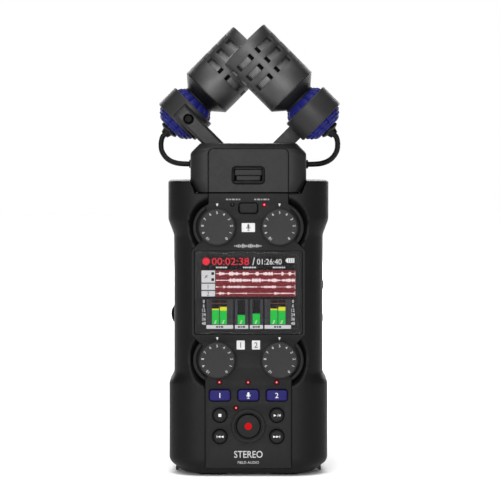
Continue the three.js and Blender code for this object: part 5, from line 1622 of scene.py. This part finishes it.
CAD_LOOKS = {
    "lcd_module": BLACK_LOOK, "main_board": BOARD_LOOK, "usb_port": STEEL_LOOK,
    "line_jack": BLACK_LOOK, "battery_tray": BLACK_LOOK, "cell_left": CELL_LOOK,
    "cell_right": CELL_LOOK, "speaker": BLACK_LOOK, "capsule_socket": BLACK_LOOK,
    "capsule_base": BLACK_LOOK, "mic_element_left": BRASS_LOOK, "mic_element_right": BRASS_LOOK,
}


def dress_cad():
    """Hidden pieces that stay as CAD solids get their finished materials."""
    for name, look in CAD_LOOKS.items():
        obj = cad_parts[name]
        obj = bpy.data.objects[obj] if isinstance(obj, str) else obj
        for material_slot in obj.material_slots:
            material_slot.material = look


make_jacks()
make_side_controls()
make_rear()
dress_cad()


# ---------------------------------------------------------------- stage
FLOOR_HALF = 3
SEEN_STRENGTH = 1.0
SKY_STRENGTH = 0.12


def make_stage():
    floor = bpy.data.meshes.new("floor")
    corners = [(x * FLOOR_HALF, y * FLOOR_HALF, 0) for x, y in ((-1, -1), (1, -1), (1, 1), (-1, 1))]
    floor.from_pydata(corners, [], [(0, 1, 2, 3)])
    look = new_material("floor_white", grey(250), 0.9, Specular_IOR_Level=0.0)
    tinted(look, noise(look, 60, 2), grey(249), grey(251))
    floor.materials.append(look)
    obj = bpy.data.objects.new("floor", floor)
    scene.collection.objects.link(obj)


def area_light(name, place, size, power):
    """Rectangular light that looks at the middle of the recorder."""
    data = bpy.data.lights.new(name, "AREA")
    data.shape = "RECTANGLE"
    data.size, data.size_y = size
    data.energy = power
    light = bpy.data.objects.new(name, data)
    light.location = place
    aim = Vector((0, 0, 0.1)) - Vector(place)
    light.rotation_euler = aim.to_track_quat("-Z", "Y").to_euler()
    scene.collection.objects.link(light)


def make_world():
    """White where the camera sees it, and a faint sky for everything else."""
    world = bpy.data.worlds.new("studio")
    world.use_nodes = True
    tree = world.node_tree
    tree.nodes.clear()
    path = tree.nodes.new("ShaderNodeLightPath")
    mix = tree.nodes.new("ShaderNodeMixShader")
    out = tree.nodes.new("ShaderNodeOutputWorld")
    tree.links.new(path.outputs["Is Camera Ray"], mix.inputs["Fac"])
    for socket, strength in ((1, SKY_STRENGTH), (2, SEEN_STRENGTH)):
        sky = tree.nodes.new("ShaderNodeBackground")
        sky.inputs["Color"].default_value = (1, 1, 1, 1)
        sky.inputs["Strength"].default_value = strength
        tree.links.new(sky.outputs["Background"], mix.inputs[socket])
    tree.links.new(mix.outputs["Shader"], out.inputs["Surface"])
    scene.world = world


def make_lights():
    data = bpy.data.lights.new("sun", "SUN")
    data.energy = 3.2
    data.angle = math.radians(50)
    sun = bpy.data.objects.new("sun", data)
    sun.rotation_euler = (math.radians(20), 0, math.radians(-8))
    scene.collection.objects.link(sun)
    area_light("key", (-0.15, -1.6, 0.35), (0.9, 0.6), 20)
    area_light("back", (0, 1.5, 0.5), (0.9, 0.7), 9)
    for side in (-1, 1):
        area_light("side", (side * 0.8, 1.4, 0.5), (0.5, 0.7), 8)


make_stage()
make_world()
make_lights()
scene.view_settings.view_transform = "Standard"
